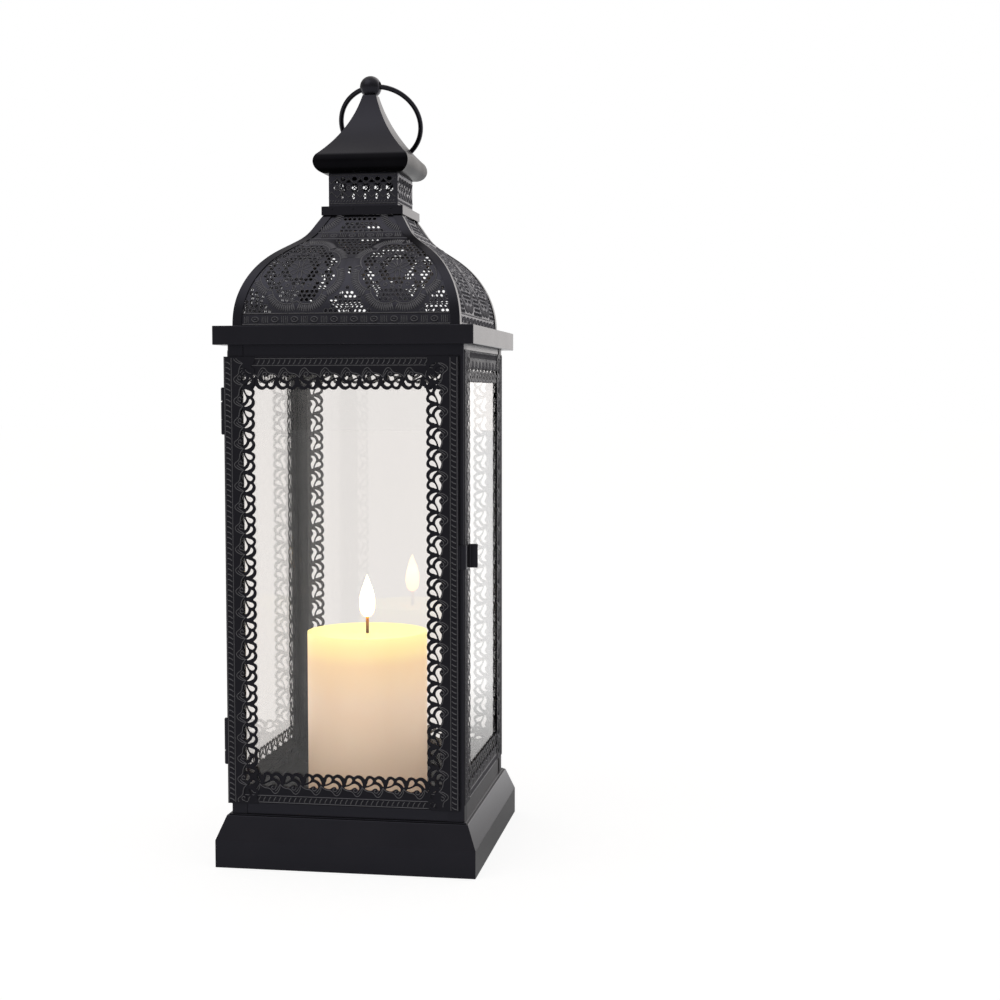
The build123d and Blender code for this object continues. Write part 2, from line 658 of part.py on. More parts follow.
with BuildPart() as chimney:
    with BuildSketch(Plane.XY.offset(COLLAR_TOP)):
        flue_half = CHIMNEY_HALF - CHIMNEY_SHEET
        Rectangle(2 * CHIMNEY_HALF, 2 * CHIMNEY_HALF)
        Rectangle(2 * flue_half, 2 * flue_half, mode=Mode.SUBTRACT)
    extrude(amount=CHIMNEY_HEIGHT)
    for side in OUTWARD:
        with BuildSketch(wall_plane(side, CHIMNEY_HALF)):
            with Locations((0, COLLAR_TOP + CHIMNEY_HEIGHT / 2)):
                with GridLocations(CHIMNEY_WINDOW_PITCH, 0, CHIMNEY_WINDOWS, 1):
                    Rectangle(CHIMNEY_WINDOW, CHIMNEY_WINDOW, rotation=45)
        extrude(amount=-CHIMNEY_SHEET, mode=Mode.SUBTRACT)
save(chimney, "chimney")


# ---------------------------------------------------------------- cap
def cap_prism(plane):
    """All that lies under the cap's outline seen along one axis."""
    seat = (CAP_SEAT_HALF, CHIMNEY_TOP)
    nose = (BULLNOSE_CENTRE[0] + BULLNOSE_RADIUS, CHIMNEY_TOP + BULLNOSE_CENTRE[1])
    shoulder = (CAP_SHOULDER[0], CHIMNEY_TOP + CAP_SHOULDER[1])
    waist = (CAP_WAIST[0], CHIMNEY_TOP + CAP_WAIST[1])
    tip = (CAP_TOP_HALF, CAP_TOP)
    with BuildPart() as prism:
        with BuildSketch(plane):
            with BuildLine():
                ThreePointArc(seat, nose, shoulder)
                ThreePointArc(shoulder, waist, tip)
                Polyline(tip, (0, CAP_TOP), (0, CHIMNEY_TOP), seat)
            make_face()
            mirror(about=Plane.YZ)
        extrude(amount=PLINTH_HALF, both=True)
    return prism.part


# Hollow four-sided cap with a rolled edge. It stands on the chimney's rim by the lip that
# is turned in under the roll, and its top is a solid boss for the ball's screw.
with BuildPart() as cap:
    add(cap_prism(Plane.XZ))
    add(cap_prism(Plane.YZ), mode=Mode.INTERSECT)
    cavity = [
        (CAP_SEAT_HALF - CAP_SHEET, CAP_SHEET),
        (BULLNOSE_CENTRE[0] + BULLNOSE_RADIUS - CAP_NOSE_WALL, BULLNOSE_CENTRE[1]),
        (CAP_SHOULDER[0] - CAP_SHOULDER_WALL, CAP_SHOULDER[1] + CAP_SHOULDER_THROAT),
        (CAP_WAIST[0] - CAP_WAIST_WALL, CAP_WAIST[1]),
        (CAP_TOP_HALF - CAP_TIP_WALL, CAP_HEIGHT - CAP_TOP_WALL),
    ]
    for half, height in cavity:
        with BuildSketch(Plane.XY.offset(CHIMNEY_TOP + height)):
            Rectangle(2 * half, 2 * half)
    loft(ruled=True, mode=Mode.SUBTRACT)
    with BuildSketch(Plane.XY.offset(CHIMNEY_TOP)):
        Rectangle(2 * CAP_HOLE_HALF, 2 * CAP_HOLE_HALF)
    extrude(amount=CAP_SHEET, mode=Mode.SUBTRACT)
    with BuildSketch(Plane.XY.offset(CAP_TOP - CAP_TOP_WALL)):
        Circle(SCREW_RADIUS + SCREW_CLEARANCE)
    extrude(amount=CAP_TOP_WALL, mode=Mode.SUBTRACT)
save(cap, "cap")

# ---------------------------------------------------------------- ball and ring
lean, tilt = radians(RING_LEAN), radians(RING_TILT)
ring_way = Vector(sin(tilt), cos(tilt) * sin(lean), -cos(tilt) * cos(lean))
ring_axle = Vector(cos(tilt), -sin(tilt) * sin(lean), sin(tilt) * cos(lean))
ring_normal = ring_axle.cross(ring_way)

# Ball: flat underneath, screwed down, with a waisted hole for the ring. The hole is as wide
# as the curved wire needs in order to swing.
with BuildPart() as finial_ball:
    with BuildSketch(Plane.XZ):
        with Locations((0, BALL_CENTRE.Z)):
            Circle(BALL_RADIUS)
        with Locations((0, BALL_CENTRE.Z)):
            Rectangle(
                BALL_RADIUS, 2 * BALL_RADIUS, align=(Align.MAX, Align.CENTER), mode=Mode.SUBTRACT
            )
        with Locations((0, CAP_TOP)):
            Rectangle(
                2 * BALL_RADIUS, BALL_RADIUS, align=(Align.CENTER, Align.MAX), mode=Mode.SUBTRACT
            )
    revolve(axis=Axis.Z)
    with BuildSketch(Plane.XY.offset(CAP_TOP)):
        Circle(SCREW_RADIUS + SCREW_CLEARANCE)
    extrude(amount=SCREW_GRIP, mode=Mode.SUBTRACT)
    throat = RING_WIRE + RING_CLEARANCE
    flare = RING_RADIUS - ((RING_RADIUS - throat) ** 2 - BALL_RADIUS**2) ** 0.5
    with BuildSketch(Plane(origin=BALL_CENTRE, x_dir=ring_axle, z_dir=ring_normal)):
        with BuildLine():
            ThreePointArc((-BALL_RADIUS, flare), (0, throat), (BALL_RADIUS, flare))
            Polyline(
                (BALL_RADIUS, flare), (BALL_RADIUS, 0), (-BALL_RADIUS, 0), (-BALL_RADIUS, flare)
            )
        make_face()
    revolve(axis=Axis(origin=BALL_CENTRE, direction=ring_axle), mode=Mode.SUBTRACT)
save(finial_ball, "finial_ball")

with BuildPart() as finial_screw:
    with BuildSketch(Plane.XY.offset(CAP_TOP - CAP_TOP_WALL - SCREW_HEAD)):
        Circle(SCREW_HEAD_RADIUS)
    extrude(amount=SCREW_HEAD)
    with BuildSketch(Plane.XY.offset(CAP_TOP - CAP_TOP_WALL)):
        Circle(SCREW_RADIUS)
    extrude(amount=CAP_TOP_WALL + SCREW_GRIP)
save(finial_screw, "finial_screw")

# Ring: round wire through the ball, lying back on the cap and a little askew.
ring_plane = Plane(
    origin=BALL_CENTRE + ring_way * RING_RADIUS, x_dir=ring_axle, z_dir=ring_normal
)
with BuildPart(ring_plane) as handle_ring:
    Torus(RING_RADIUS, RING_WIRE)
save(handle_ring, "handle_ring")

# ---------------------------------------------------------------- candle
# Cast wax sleeve with a dished top, closed round a battery housing at its foot.
CANDLE_TOP = FLOOR_TOP + CANDLE_HEIGHT
HOUSING_LOW = FLOOR_TOP + HOUSING_RAISE
HOUSING_TOP = HOUSING_LOW + HOUSING_HEIGHT
candle_base = Plane(origin=(CANDLE_SHIFT, 0, FLOOR_TOP))
candle_axis = Axis((CANDLE_SHIFT, 0, 0), (0, 0, 1))
candle_side = Plane(origin=(CANDLE_SHIFT, 0, 0), x_dir=(1, 0, 0), z_dir=(0, -1, 0))
with BuildPart() as candle_wax:
    with BuildSketch(candle_base):
        Circle(CANDLE_RADIUS)
    extrude(amount=CANDLE_HEIGHT)
    with BuildSketch(candle_base):
        Circle(HOUSING_RADIUS + HOUSING_CLEARANCE)
    extrude(amount=HOUSING_RAISE + HOUSING_HEIGHT + HOUSING_CLEARANCE, mode=Mode.SUBTRACT)
    with BuildSketch(candle_side):
        dish_half = CANDLE_RADIUS - CANDLE_DISH_RIM
        with BuildLine():
            dish = RadiusArc(
                (0, CANDLE_TOP - CANDLE_DISH),
                (dish_half, CANDLE_TOP),
                -(dish_half**2 + CANDLE_DISH**2) / (2 * CANDLE_DISH),
            )
            Polyline(dish @ 1, (0, CANDLE_TOP), dish @ 0)
        make_face()
    revolve(axis=candle_axis, mode=Mode.SUBTRACT)
    with BuildSketch(candle_base):
        Circle(WICK_RADIUS)
    extrude(amount=CANDLE_HEIGHT, mode=Mode.SUBTRACT)
save(candle_wax, "candle_wax")

with BuildPart() as candle_wick:
    with BuildSketch(Plane(origin=(CANDLE_SHIFT, 0, HOUSING_TOP))):
        Circle(WICK_RADIUS)
    extrude(amount=CANDLE_TOP + WICK_RISE - HOUSING_TOP)
save(candle_wick, "candle_wick")

with BuildPart() as candle_flame:
    flame_low = CANDLE_TOP + WICK_RISE
    with BuildSketch(candle_side):
        with BuildLine():
            Spline(
                (FLAME_FOOT, flame_low),
                (FLAME_RADIUS, flame_low + FLAME_BELLY),
                (0, flame_low + FLAME_HEIGHT),
                tangents=[(1, 0.6), (-0.35, 1)],
            )
            Polyline((0, flame_low + FLAME_HEIGHT), (0, flame_low), (FLAME_FOOT, flame_low))
        make_face()
    revolve(axis=candle_axis)
save(candle_flame, "candle_flame")

# Housing: a round moulding with a bay for two cells, a ledge for its cover and a slot in
# which the switch slides.
bay_plane = Plane(origin=(CANDLE_SHIFT, BAY_SHIFT, HOUSING_LOW))
SLOT_LENGTH = SWITCH_LENGTH + SWITCH_TRAVEL + 2 * SWITCH_CLEARANCE
switch_plane = Plane(origin=(CANDLE_SHIFT, BAY_SHIFT - SWITCH_OFFSET, HOUSING_LOW))
with BuildPart() as battery_housing:
    with BuildSketch(Plane(origin=(CANDLE_SHIFT, 0, HOUSING_LOW))):
        Circle(HOUSING_RADIUS)
    extrude(amount=HOUSING_HEIGHT)
    with BuildSketch(bay_plane):
        Rectangle(BAY_LENGTH, BAY_WIDTH)
    extrude(amount=BAY_DEPTH, mode=Mode.SUBTRACT)
    with BuildSketch(bay_plane):
        Rectangle(BAY_LENGTH + 2 * COVER_LEDGE, BAY_WIDTH + 2 * COVER_LEDGE)
    extrude(amount=COVER_SHEET, mode=Mode.SUBTRACT)
    with BuildSketch(switch_plane):
        Rectangle(SLOT_LENGTH, SWITCH_WIDTH + 2 * SWITCH_CLEARANCE)
    extrude(amount=SWITCH_HEIGHT + SWITCH_CLEARANCE, mode=Mode.SUBTRACT)
save(battery_housing, "battery_housing")

with BuildPart() as battery_cover:
    with BuildSketch(bay_plane):
        cover_gap = 2 * COVER_CLEARANCE
        Rectangle(
            BAY_LENGTH + 2 * COVER_LEDGE - cover_gap, BAY_WIDTH + 2 * COVER_LEDGE - cover_gap
        )
    extrude(amount=COVER_SHEET)
save(battery_cover, "battery_cover")

with BuildPart() as battery_cells:
    cell_level = HOUSING_LOW + COVER_SHEET + CELL_RADIUS
    cell_end = Plane(
        origin=(CANDLE_SHIFT - CELL_LENGTH / 2, BAY_SHIFT, cell_level), x_dir=(0, 1, 0), z_dir=(1, 0, 0)
    )
    with BuildSketch(cell_end):
        with GridLocations(CELL_PITCH, 0, 2, 1):
            Circle(CELL_RADIUS)
    extrude(amount=CELL_LENGTH)
save(battery_cells, "battery_cells")

with BuildPart() as candle_switch:
    with BuildSketch(switch_plane):
        with Locations((-SWITCH_TRAVEL / 2, 0)):
            Rectangle(SWITCH_LENGTH, SWITCH_WIDTH)
    extrude(amount=SWITCH_HEIGHT)
save(candle_switch, "candle_switch")
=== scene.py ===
from math import ceil, cos, hypot, pi, radians, sin, sqrt

import bpy
from mathutils import Matrix, Vector


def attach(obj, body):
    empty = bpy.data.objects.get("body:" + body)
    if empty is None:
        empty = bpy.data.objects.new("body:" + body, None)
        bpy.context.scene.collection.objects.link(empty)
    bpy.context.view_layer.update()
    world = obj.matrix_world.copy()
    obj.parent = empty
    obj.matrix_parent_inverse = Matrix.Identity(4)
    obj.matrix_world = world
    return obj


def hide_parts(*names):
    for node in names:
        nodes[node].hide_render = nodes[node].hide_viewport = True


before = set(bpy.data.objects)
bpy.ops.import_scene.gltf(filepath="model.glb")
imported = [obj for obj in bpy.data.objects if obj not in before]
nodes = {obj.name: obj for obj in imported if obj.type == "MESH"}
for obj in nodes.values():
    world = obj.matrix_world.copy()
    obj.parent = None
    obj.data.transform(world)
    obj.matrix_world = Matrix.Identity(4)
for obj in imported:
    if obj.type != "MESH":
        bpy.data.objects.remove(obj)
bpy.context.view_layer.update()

# ---------------------------------------------------------------- base
# The plinth is four folded steel sheets soldered at their mitred corners, with a flat floor
# sheet laid on its inner lip. All of the metal is blackened with a satin powder coat.
MM = 0.001
COAT_BLACK = (0.0035, 0.0034, 0.0042, 1)
COAT_CLOUDED = (0.0065, 0.006, 0.0068, 1)
# Painted highlight: a light grey laid on the crests of pressed-up relief, where they would catch
# the light.
COAT_CREST_HIGHLIGHT = (0.2, 0.2, 0.21, 1)
COAT_SHEEN = (0.8, 0.8, 1.0, 1)
COAT_GRAIN, GRAIN_STRENGTH, GRAIN_DEPTH = 1400, 0.35, 0.00006
COAT_CLOUD = 38
# The crests of the relief are also made glossier, which strengthens the painted highlight.
CREST_GLOSS = 0.6
FOLD_STEPS, FOLD_ANGLE = 2, radians(35)
WELD_REACH = 0.00001


def new_material(name):
    """A node material with its shader and its object coordinates."""
    material = bpy.data.materials.new(name)
    material.use_nodes = True
    tree = material.node_tree
    shader = tree.nodes["Principled BSDF"]
    place = tree.nodes.new("ShaderNodeTexCoord")
    return material, tree, shader, place.outputs["Object"]


def noise_of(tree, place, scale, detail=2.0, roughness=0.5):
    """Noise at a scale per metre."""
    noise = tree.nodes.new("ShaderNodeTexNoise")
    noise.inputs["Scale"].default_value = scale
    noise.inputs["Detail"].default_value = detail
    noise.inputs["Roughness"].default_value = roughness
    tree.links.new(place, noise.inputs["Vector"])
    return noise.outputs["Fac"]


def ramp_of(tree, factor, stops):
    """A colour ramp through (place, colour) stops."""
    ramp = tree.nodes.new("ShaderNodeValToRGB")
    while len(ramp.color_ramp.elements) < len(stops):
        ramp.color_ramp.elements.new(0.5)
    for element, (position, colour) in zip(ramp.color_ramp.elements, stops):
        element.position = position
        element.color = colour
    tree.links.new(factor, ramp.inputs["Fac"])
    return ramp.outputs["Color"]


def range_of(tree, value, low, high, to_low, to_high):
    """A value moved from one range to another."""
    change = tree.nodes.new("ShaderNodeMapRange")
    for socket, number in (
        ("From Min", low), ("From Max", high), ("To Min", to_low), ("To Max", to_high)
    ):
        change.inputs[socket].default_value = number
    tree.links.new(value, change.inputs["Value"])
    return change.outputs["Result"]


def bump_of(tree, shader, height, strength, depth):
    """Raise the surface by a height pattern."""
    bump = tree.nodes.new("ShaderNodeBump")
    bump.inputs["Strength"].default_value = strength
    bump.inputs["Distance"].default_value = depth
    tree.links.new(height, bump.inputs["Height"])
    tree.links.new(bump.outputs["Normal"], shader.inputs["Normal"])


def mix_of(tree, factor, first, second):
    """A colour between a node's colour and a plain one."""
    mix = tree.nodes.new("ShaderNodeMix")
    mix.data_type = "RGBA"
    tree.links.new(factor, mix.inputs["Factor"])
    tree.links.new(first, mix.inputs["A"])
    mix.inputs["B"].default_value = second
    return mix.outputs["Result"]


def powder_coat(name, rough_low, rough_high, plain_gloss=0.5):
    """Satin black coat: fine orange peel, clouds where it is handled, and a painted highlight on
    the crests of its relief.
    """
    material, tree, shader, place = new_material(name)
    clouds = noise_of(tree, place, COAT_CLOUD, 4)
    colour = ramp_of(tree, clouds, ((0.35, COAT_BLACK), (0.72, COAT_CLOUDED)))
    relief = tree.nodes.new("ShaderNodeAttribute")
    relief.attribute_name = "crest_highlight"
    # The crest mark blends in the painted highlight colour and raises the gloss there.
    tree.links.new(mix_of(tree, relief.outputs["Fac"], colour, COAT_CREST_HIGHLIGHT),
                   shader.inputs["Base Color"])
    tree.links.new(range_of(tree, relief.outputs["Fac"], 0.0, 1.0, plain_gloss, CREST_GLOSS),
                   shader.inputs["Specular IOR Level"])
    shader.inputs["Specular Tint"].default_value = COAT_SHEEN
    tree.links.new(range_of(tree, clouds, 0.3, 0.7, rough_low, rough_high),
                   shader.inputs["Roughness"])
    bump_of(tree, shader, noise_of(tree, place, COAT_GRAIN), GRAIN_STRENGTH, GRAIN_DEPTH)
    return material


black_coat = powder_coat("black_coat", 0.285, 0.305)


def dress(name, material, edge=0.0):
    """Give a CAD node its finish, and a small radius on its folded edges."""
    node = nodes[name]
    node.data.materials.clear()
    node.data.materials.append(material)
    if edge:
        weld = node.modifiers.new("weld", "WELD")
        weld.merge_threshold = WELD_REACH
        bevel = node.modifiers.new("edge", "BEVEL")
        bevel.width = edge
        bevel.segments = FOLD_STEPS
        bevel.limit_method = "ANGLE"
        bevel.angle_limit = FOLD_ANGLE


for side in ("front", "right", "back", "left"):
    dress(f"base_panel_{side}", black_coat, 0.35 * MM)
dress("floor_plate", black_coat, 0.2 * MM)

# ---------------------------------------------------------------- body frame
# Four corner angles and eight flat rails of folded sheet, soldered together and to the floor
# plate. The angles are coated a little duller than the rails.
post_coat = powder_coat("post_coat", 0.36, 0.42)
for corner in ("front_left", "front_right", "back_left", "back_right"):
    dress(f"corner_post_{corner}", post_coat)
for side in ("front", "right", "back", "left"):
    dress(f"bottom_rail_{side}", black_coat)
    dress(f"top_rail_{side}", black_coat)

# ---------------------------------------------------------------- laced strips
# Steel strip, pierced and embossed by one die: comma, eye and crescent in each repeat, with
# an S-scroll and a beaded border pressed up in the plain half. Soldered on at their edges.
LACE_HALF_SHEET = 0.05
LACE_ROUND = 0.1
COMMA = ((0.0, 11.5), (1.1, 10.85), (2.9, 10.4), (4.2, 10.6), (5.4, 11.45), (6.5, 11.8),
         (7.5, 11.55), (8.15, 10.6), (8.75, 10.35), (9.25, 11.0), (9.2, 12.1), (8.5, 13.3),
         (7.3, 14.05), (6.1, 14.25), (4.95, 13.8), (3.4, 12.95), (2.0, 12.4), (0.8, 12.1))
EYE = ((0.85, 13.25), (1.3, 15.1), (1.8, 16.9), (3.0, 18.0), (4.2, 17.75), (5.05, 16.6),
       (4.9, 15.5), (4.0, 14.3), (2.8, 13.6), (1.8, 13.25))
CRESCENT = ((6.7, 16.5), (7.6, 17.6), (8.9, 17.8), (10.3, 17.0), (11.1, 15.7),
            (11.75, 13.9), (11.5, 12.85), (10.8, 13.4), (9.9, 14.4), (8.7, 15.3), (7.5, 15.8))
LOBES = ((0.0, 17.4), (0.95, 18.9), (2.35, 19.6), (3.9, 19.5), (5.2, 18.9), (5.95, 18.5),
         (6.9, 19.05), (8.3, 19.7), (9.85, 19.6), (11.4, 18.9), (12.4, 17.95))
SCROLL = ((-1.9, 12.3), (0.0, 10.6), (2.0, 9.8), (4.3, 9.5), (5.8, 8.3), (7.0, 6.8),
          (8.2, 6.4), (9.4, 7.0), (10.4, 8.4), (11.2, 10.2), (11.2, 12.3))
COUNTER = ((8.2, 7.9), (9.3, 8.9), (10.2, 10.3), (10.9, 11.6))
CURL = ((8.3, 10.9), (8.2, 9.7), (7.2, 9.0), (6.1, 9.4), (5.9, 10.5), (6.9, 10.9))
BORDER_LINES = (0.7, 4.9)
BEAD_ROW = 2.8
BEADS_A_REPEAT = 4
BEAD = ((-1.0, -1.5), (-0.55, 0.0), (0.5, 1.4))
LACE_REPEAT = 13.04
HOLE_TRIM = 0.2
LOBE_FREE, HOLE_FREE, SCROLL_FREE, BEAD_FREE, BORDER_END = 0.4, 1.0, 0.7, 1.2, 0.8
SCROLL_RADIUS, CURL_RADIUS, BEAD_RADIUS = 0.36, 0.34, 0.45
RELIEF_SHARE, RELIEF_SUNK = 0.9, 0.02
CURVE_STEPS = 2
MERGE_REACH = 0.002


def pick_nothing():
    """Leave nothing selected, so that the next tool works on its own piece only."""
    bpy.ops.object.select_all(action="DESELECT")


def draw(name, lines, sheet=0.0, round_edge=0.0, filled=True):
    """Draw closed or open lines in the flat, in millimetres: (points, closed, smooth)."""
    pick_nothing()
    bpy.ops.curve.primitive_bezier_curve_add()
    drawing = bpy.context.object
    drawing.name = name
    curve = drawing.data
    curve.splines.clear()
    curve.dimensions = "2D" if filled else "3D"
    curve.fill_mode = "BOTH" if filled else "FULL"
    curve.extrude = sheet
    curve.bevel_depth = round_edge
    curve.bevel_resolution = 0
    curve.offset = -round_edge if filled else 0.0
    curve.use_fill_caps = not filled
    curve.resolution_u = CURVE_STEPS
    for points, closed, smooth in lines:
        line = curve.splines.new("BEZIER")
        line.bezier_points.add(len(points) - 1)
        for knot, point in zip(line.bezier_points, points):
            knot.co = (*point, 0.0)[:3]
            knot.handle_left_type = "AUTO" if smooth else "VECTOR"
            knot.handle_right_type = "AUTO" if smooth else "VECTOR"
        line.use_cyclic_u = closed
        line.resolution_u = CURVE_STEPS if smooth else 1
    return drawing


def to_solid(drawing, turn_outwards=True):
    """The drawing as a mesh with its doubles merged."""
    pick_nothing()
    drawing.select_set(True)
    bpy.context.view_layer.objects.active = drawing
    bpy.ops.object.convert(target="MESH")
    piece = bpy.context.object
    bpy.ops.object.mode_set(mode="EDIT")
    bpy.ops.mesh.select_all(action="SELECT")
    bpy.ops.mesh.remove_doubles(threshold=MERGE_REACH)
    if turn_outwards:
        bpy.ops.mesh.normals_make_consistent(inside=False)
    bpy.ops.object.mode_set(mode="OBJECT")
    return piece


def press_up(name, lines, radius):
    """Round beads along open lines, as they are pressed up in the sheet."""
    return to_solid(draw(name, lines, 0.0, radius, filled=False))


def paint_crest_highlight(piece, crest):
    """Mark a pressed-up line's painted highlight: nothing at its foot, all of it at its crest."""
    marks = piece.data.attributes.new("crest_highlight", "FLOAT", "POINT")
    for vertex, mark in zip(piece.data.vertices, marks.data):
        mark.value = min(max(vertex.co.z / crest, 0.0), 1.0)


def place(piece, matrix):
    """Put a piece drawn in millimetres in its place, and keep the place in its mesh."""
    pick_nothing()
    piece.matrix_world = matrix @ Matrix.Scale(MM, 4)
    piece.select_set(True)
    bpy.context.view_layer.objects.active = piece
    bpy.ops.object.transform_apply(location=True, rotation=True, scale=True)


def join(pieces, name):
    """Join pieces that are soldered or pressed as one."""
    pick_nothing()
    for piece in pieces:
        piece.select_set(True)
    bpy.context.view_layer.objects.active = pieces[0]
    bpy.ops.object.join()
    pieces[0].name = name
    pieces[0].data.name = name
    return pieces[0]


def trimmed(points, trim):
    """A hole's outline drawn in by a margin."""
    ring = []
    for index, (x, y) in enumerate(points):
        (x0, y0), (x1, y1) = points[index - 1], points[(index + 1) % len(points)]
        run = hypot(x1 - x0, y1 - y0)
        turn = 1 if sum(a[0] * b[1] - b[0] * a[1] for a, b in
                        zip(points, [*points[1:], points[0]])) > 0 else -1
        ring.append((x - turn * trim * (y1 - y0) / run, y + turn * trim * (x1 - x0) / run))
    return ring


def lace(length, first_notch):
    """A strip from s 0 to its length: s runs along it, t from its plain edge to its lobes."""
    first = first_notch - LACE_REPEAT * ceil(first_notch / LACE_REPEAT)
    repeats = [first + LACE_REPEAT * n for n in range(ceil((length - first) / LACE_REPEAT))]
    free_edge = []
    for start in repeats:
        free_edge += [(start + s, t) for s, t in LOBES
                      if LOBE_FREE < start + s < length - LOBE_FREE]
    free_edge = [(0.0, free_edge[0][1]), *free_edge, (length, free_edge[-1][1])]
    outline = free_edge + [(length, 0.0), (0.0, 0.0)]
    lines = [(outline, True, True)]
    for start in repeats:
        for hole in (COMMA, trimmed(EYE, HOLE_TRIM), trimmed(CRESCENT, HOLE_TRIM)):
            points = [(start + s, t) for s, t in hole]
            if all(HOLE_FREE < s < length - HOLE_FREE for s, t in points):
                lines.append((points, True, True))
    strip = draw("lace_sheet", lines, LACE_HALF_SHEET, LACE_ROUND)
    for knot in list(strip.data.splines[0].bezier_points)[-2:]:
        knot.handle_left_type = knot.handle_right_type = "VECTOR"
    for index in (0, len(free_edge) - 1):
        knot = strip.data.splines[0].bezier_points[index]
        knot.handle_left_type = knot.handle_right_type = "VECTOR"
    strip = to_solid(strip)

    ridges = [([(BORDER_END, t), (length - BORDER_END, t)], False, False) for t in BORDER_LINES]
    curls = []
    beads = []
    for start in repeats:
        for line, group in ((SCROLL, ridges), (COUNTER, curls), (CURL, curls)):
            points = [(start + s, t) for s, t in line
                      if SCROLL_FREE < start + s < length - SCROLL_FREE]
            if len(points) > 2:
                group.append((points, False, True))
        for n in range(BEADS_A_REPEAT):
            s = start + (n + 0.5) * LACE_REPEAT / BEADS_A_REPEAT
            if BEAD_FREE < s < length - BEAD_FREE:
                beads.append(([(s + along, BEAD_ROW + up) for along, up in BEAD], False, True))
    relief = []
    for name, lines, radius in (
        ("scroll", ridges, SCROLL_RADIUS),
        ("curl", curls, CURL_RADIUS),
        ("bead", beads, BEAD_RADIUS),
    ):
        raised = press_up(f"lace_{name}", lines, radius)
        paint_crest_highlight(raised, radius)
        for vertex in raised.data.vertices:
            vertex.co.z = vertex.co.z * RELIEF_SHARE + LACE_HALF_SHEET + LACE_ROUND - RELIEF_SUNK
        relief.append(raised)
    return join([strip, *relief], "lace")


def wall_frame(side, distance, start_x, start_z, along):
    """Where a strip starts on a wall: its s runs along, its t runs inwards."""
    outward = {"front": (0, -1, 0), "right": (1, 0, 0), "back": (0, 1, 0), "left": (-1, 0, 0)}
    normal = Vector(outward[side])
    across = Vector((0, 0, 1)).cross(normal)
    upward = Vector((0, 0, 1))
    run = {"down": -upward, "up": upward, "right": across, "left": -across}[along]
    inward = normal.cross(run)
    origin = (across * start_x + upward * start_z + normal * distance) * MM
    rows = Matrix((run, inward, normal)).transposed().to_4x4()
    return Matrix.Translation(origin) @ rows


def copy_of(piece, name):
    """A copy with a mesh of its own."""
    twin = piece.copy()
    twin.data = piece.data.copy()
    twin.name = name
    bpy.context.collection.objects.link(twin)
    return twin


def settle(piece, body, finish, slot, *replaced):
    """Give a finished piece its material and its body, and hide the nodes that it stands for."""
    piece.data.materials.clear()
    piece.data.materials.append(finish)
    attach(piece, body)
    if replaced:
        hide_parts(*replaced)


def smooth(piece, angle=38):
    """Shade a piece smooth, but for its sharp edges."""
    pick_nothing()
    piece.select_set(True)
    bpy.context.view_layer.objects.active = piece
    bpy.ops.object.shade_smooth_by_angle(angle=radians(angle))


lace_coat = powder_coat("lace_coat", 0.46, 0.56, 0.4)
UPRIGHT_OUTSIDE, CROSS_OUTSIDE = 74.1, 73.6
UPRIGHT_FACE = UPRIGHT_OUTSIDE - LACE_HALF_SHEET - LACE_ROUND
CROSS_FACE = CROSS_OUTSIDE - LACE_HALF_SHEET - LACE_ROUND
UPRIGHT_NOTCH, CROSS_NOTCH = 3.2, 5.1
LACE_EDGE, LACE_LOW, LACE_HIGH, CROSS_HALF = 72.4, 42.5, 320.8, 63.8
side_upright = lace(LACE_HIGH - LACE_LOW, UPRIGHT_NOTCH)
side_cross = lace(2 * CROSS_HALF, CROSS_NOTCH)
smooth(side_upright)
smooth(side_cross)
lace_pairs = (
    ("uprights", side_upright, UPRIGHT_FACE,
     ((-LACE_EDGE, LACE_HIGH, "down"), (LACE_EDGE, LACE_LOW, "up"))),
    ("crosses", side_cross, CROSS_FACE,
     ((-CROSS_HALF, LACE_LOW, "right"), (CROSS_HALF, LACE_HIGH, "left"))),
)
for side in ("left", "right", "back"):
    for kind, pattern, face, starts in lace_pairs:
        strips = []
        for start, level, along in starts:
            strip = copy_of(pattern, "strip")
            place(strip, wall_frame(side, face, start, level, along))
            strips.append(strip)
        settle(join(strips, f"laced_{kind}_{side}"), "lantern", lace_coat, "black_metal",
               f"lace_{kind}_{side}")
bpy.data.objects.remove(side_upright)
bpy.data.objects.remove(side_cross)

# ---------------------------------------------------------------- panes
# Clear float glass behind the three fixed walls, held by small soldered clips. The side panes
# mirror less than the back pane and the door's.
GLASS_TINT = (0.91, 0.893, 0.879, 1)
GLASS_BEND = 1.5
BACK_GLOSS, LEFT_GLOSS, RIGHT_GLOSS = 0.5, 0.02, 0.2


def clear_glass(name, gloss):
    """Float glass of a given gloss, which lets the lamp through to the candle."""
    material, tree, shader, place_of = new_material(name)
    shader.inputs["Specular IOR Level"].default_value = gloss
    shader.inputs["Base Color"].default_value = GLASS_TINT
    shader.inputs["Transmission Weight"].default_value = 1.0
    shader.inputs["Roughness"].default_value = 0.0
    shader.inputs["IOR"].default_value = GLASS_BEND
    rays = tree.nodes.new("ShaderNodeLightPath")
    passing = tree.nodes.new("ShaderNodeBsdfTransparent")
    passing.inputs["Color"].default_value = [sqrt(share) for share in GLASS_TINT]
    blend = tree.nodes.new("ShaderNodeMixShader")
    output = tree.nodes["Material Output"]
    tree.links.new(rays.outputs["Is Shadow Ray"], blend.inputs["Fac"])
    tree.links.new(shader.outputs["BSDF"], blend.inputs[1])
    tree.links.new(passing.outputs["BSDF"], blend.inputs[2])
    tree.links.new(blend.outputs["Shader"], output.inputs["Surface"])
    return material


pane_glass = clear_glass("clear_glass", BACK_GLOSS)
dress("glass_back", pane_glass)
dress("glass_left", clear_glass("left_glass", LEFT_GLOSS))
dress("glass_right", clear_glass("right_glass", RIGHT_GLOSS))
dress("glass_clips", black_coat)

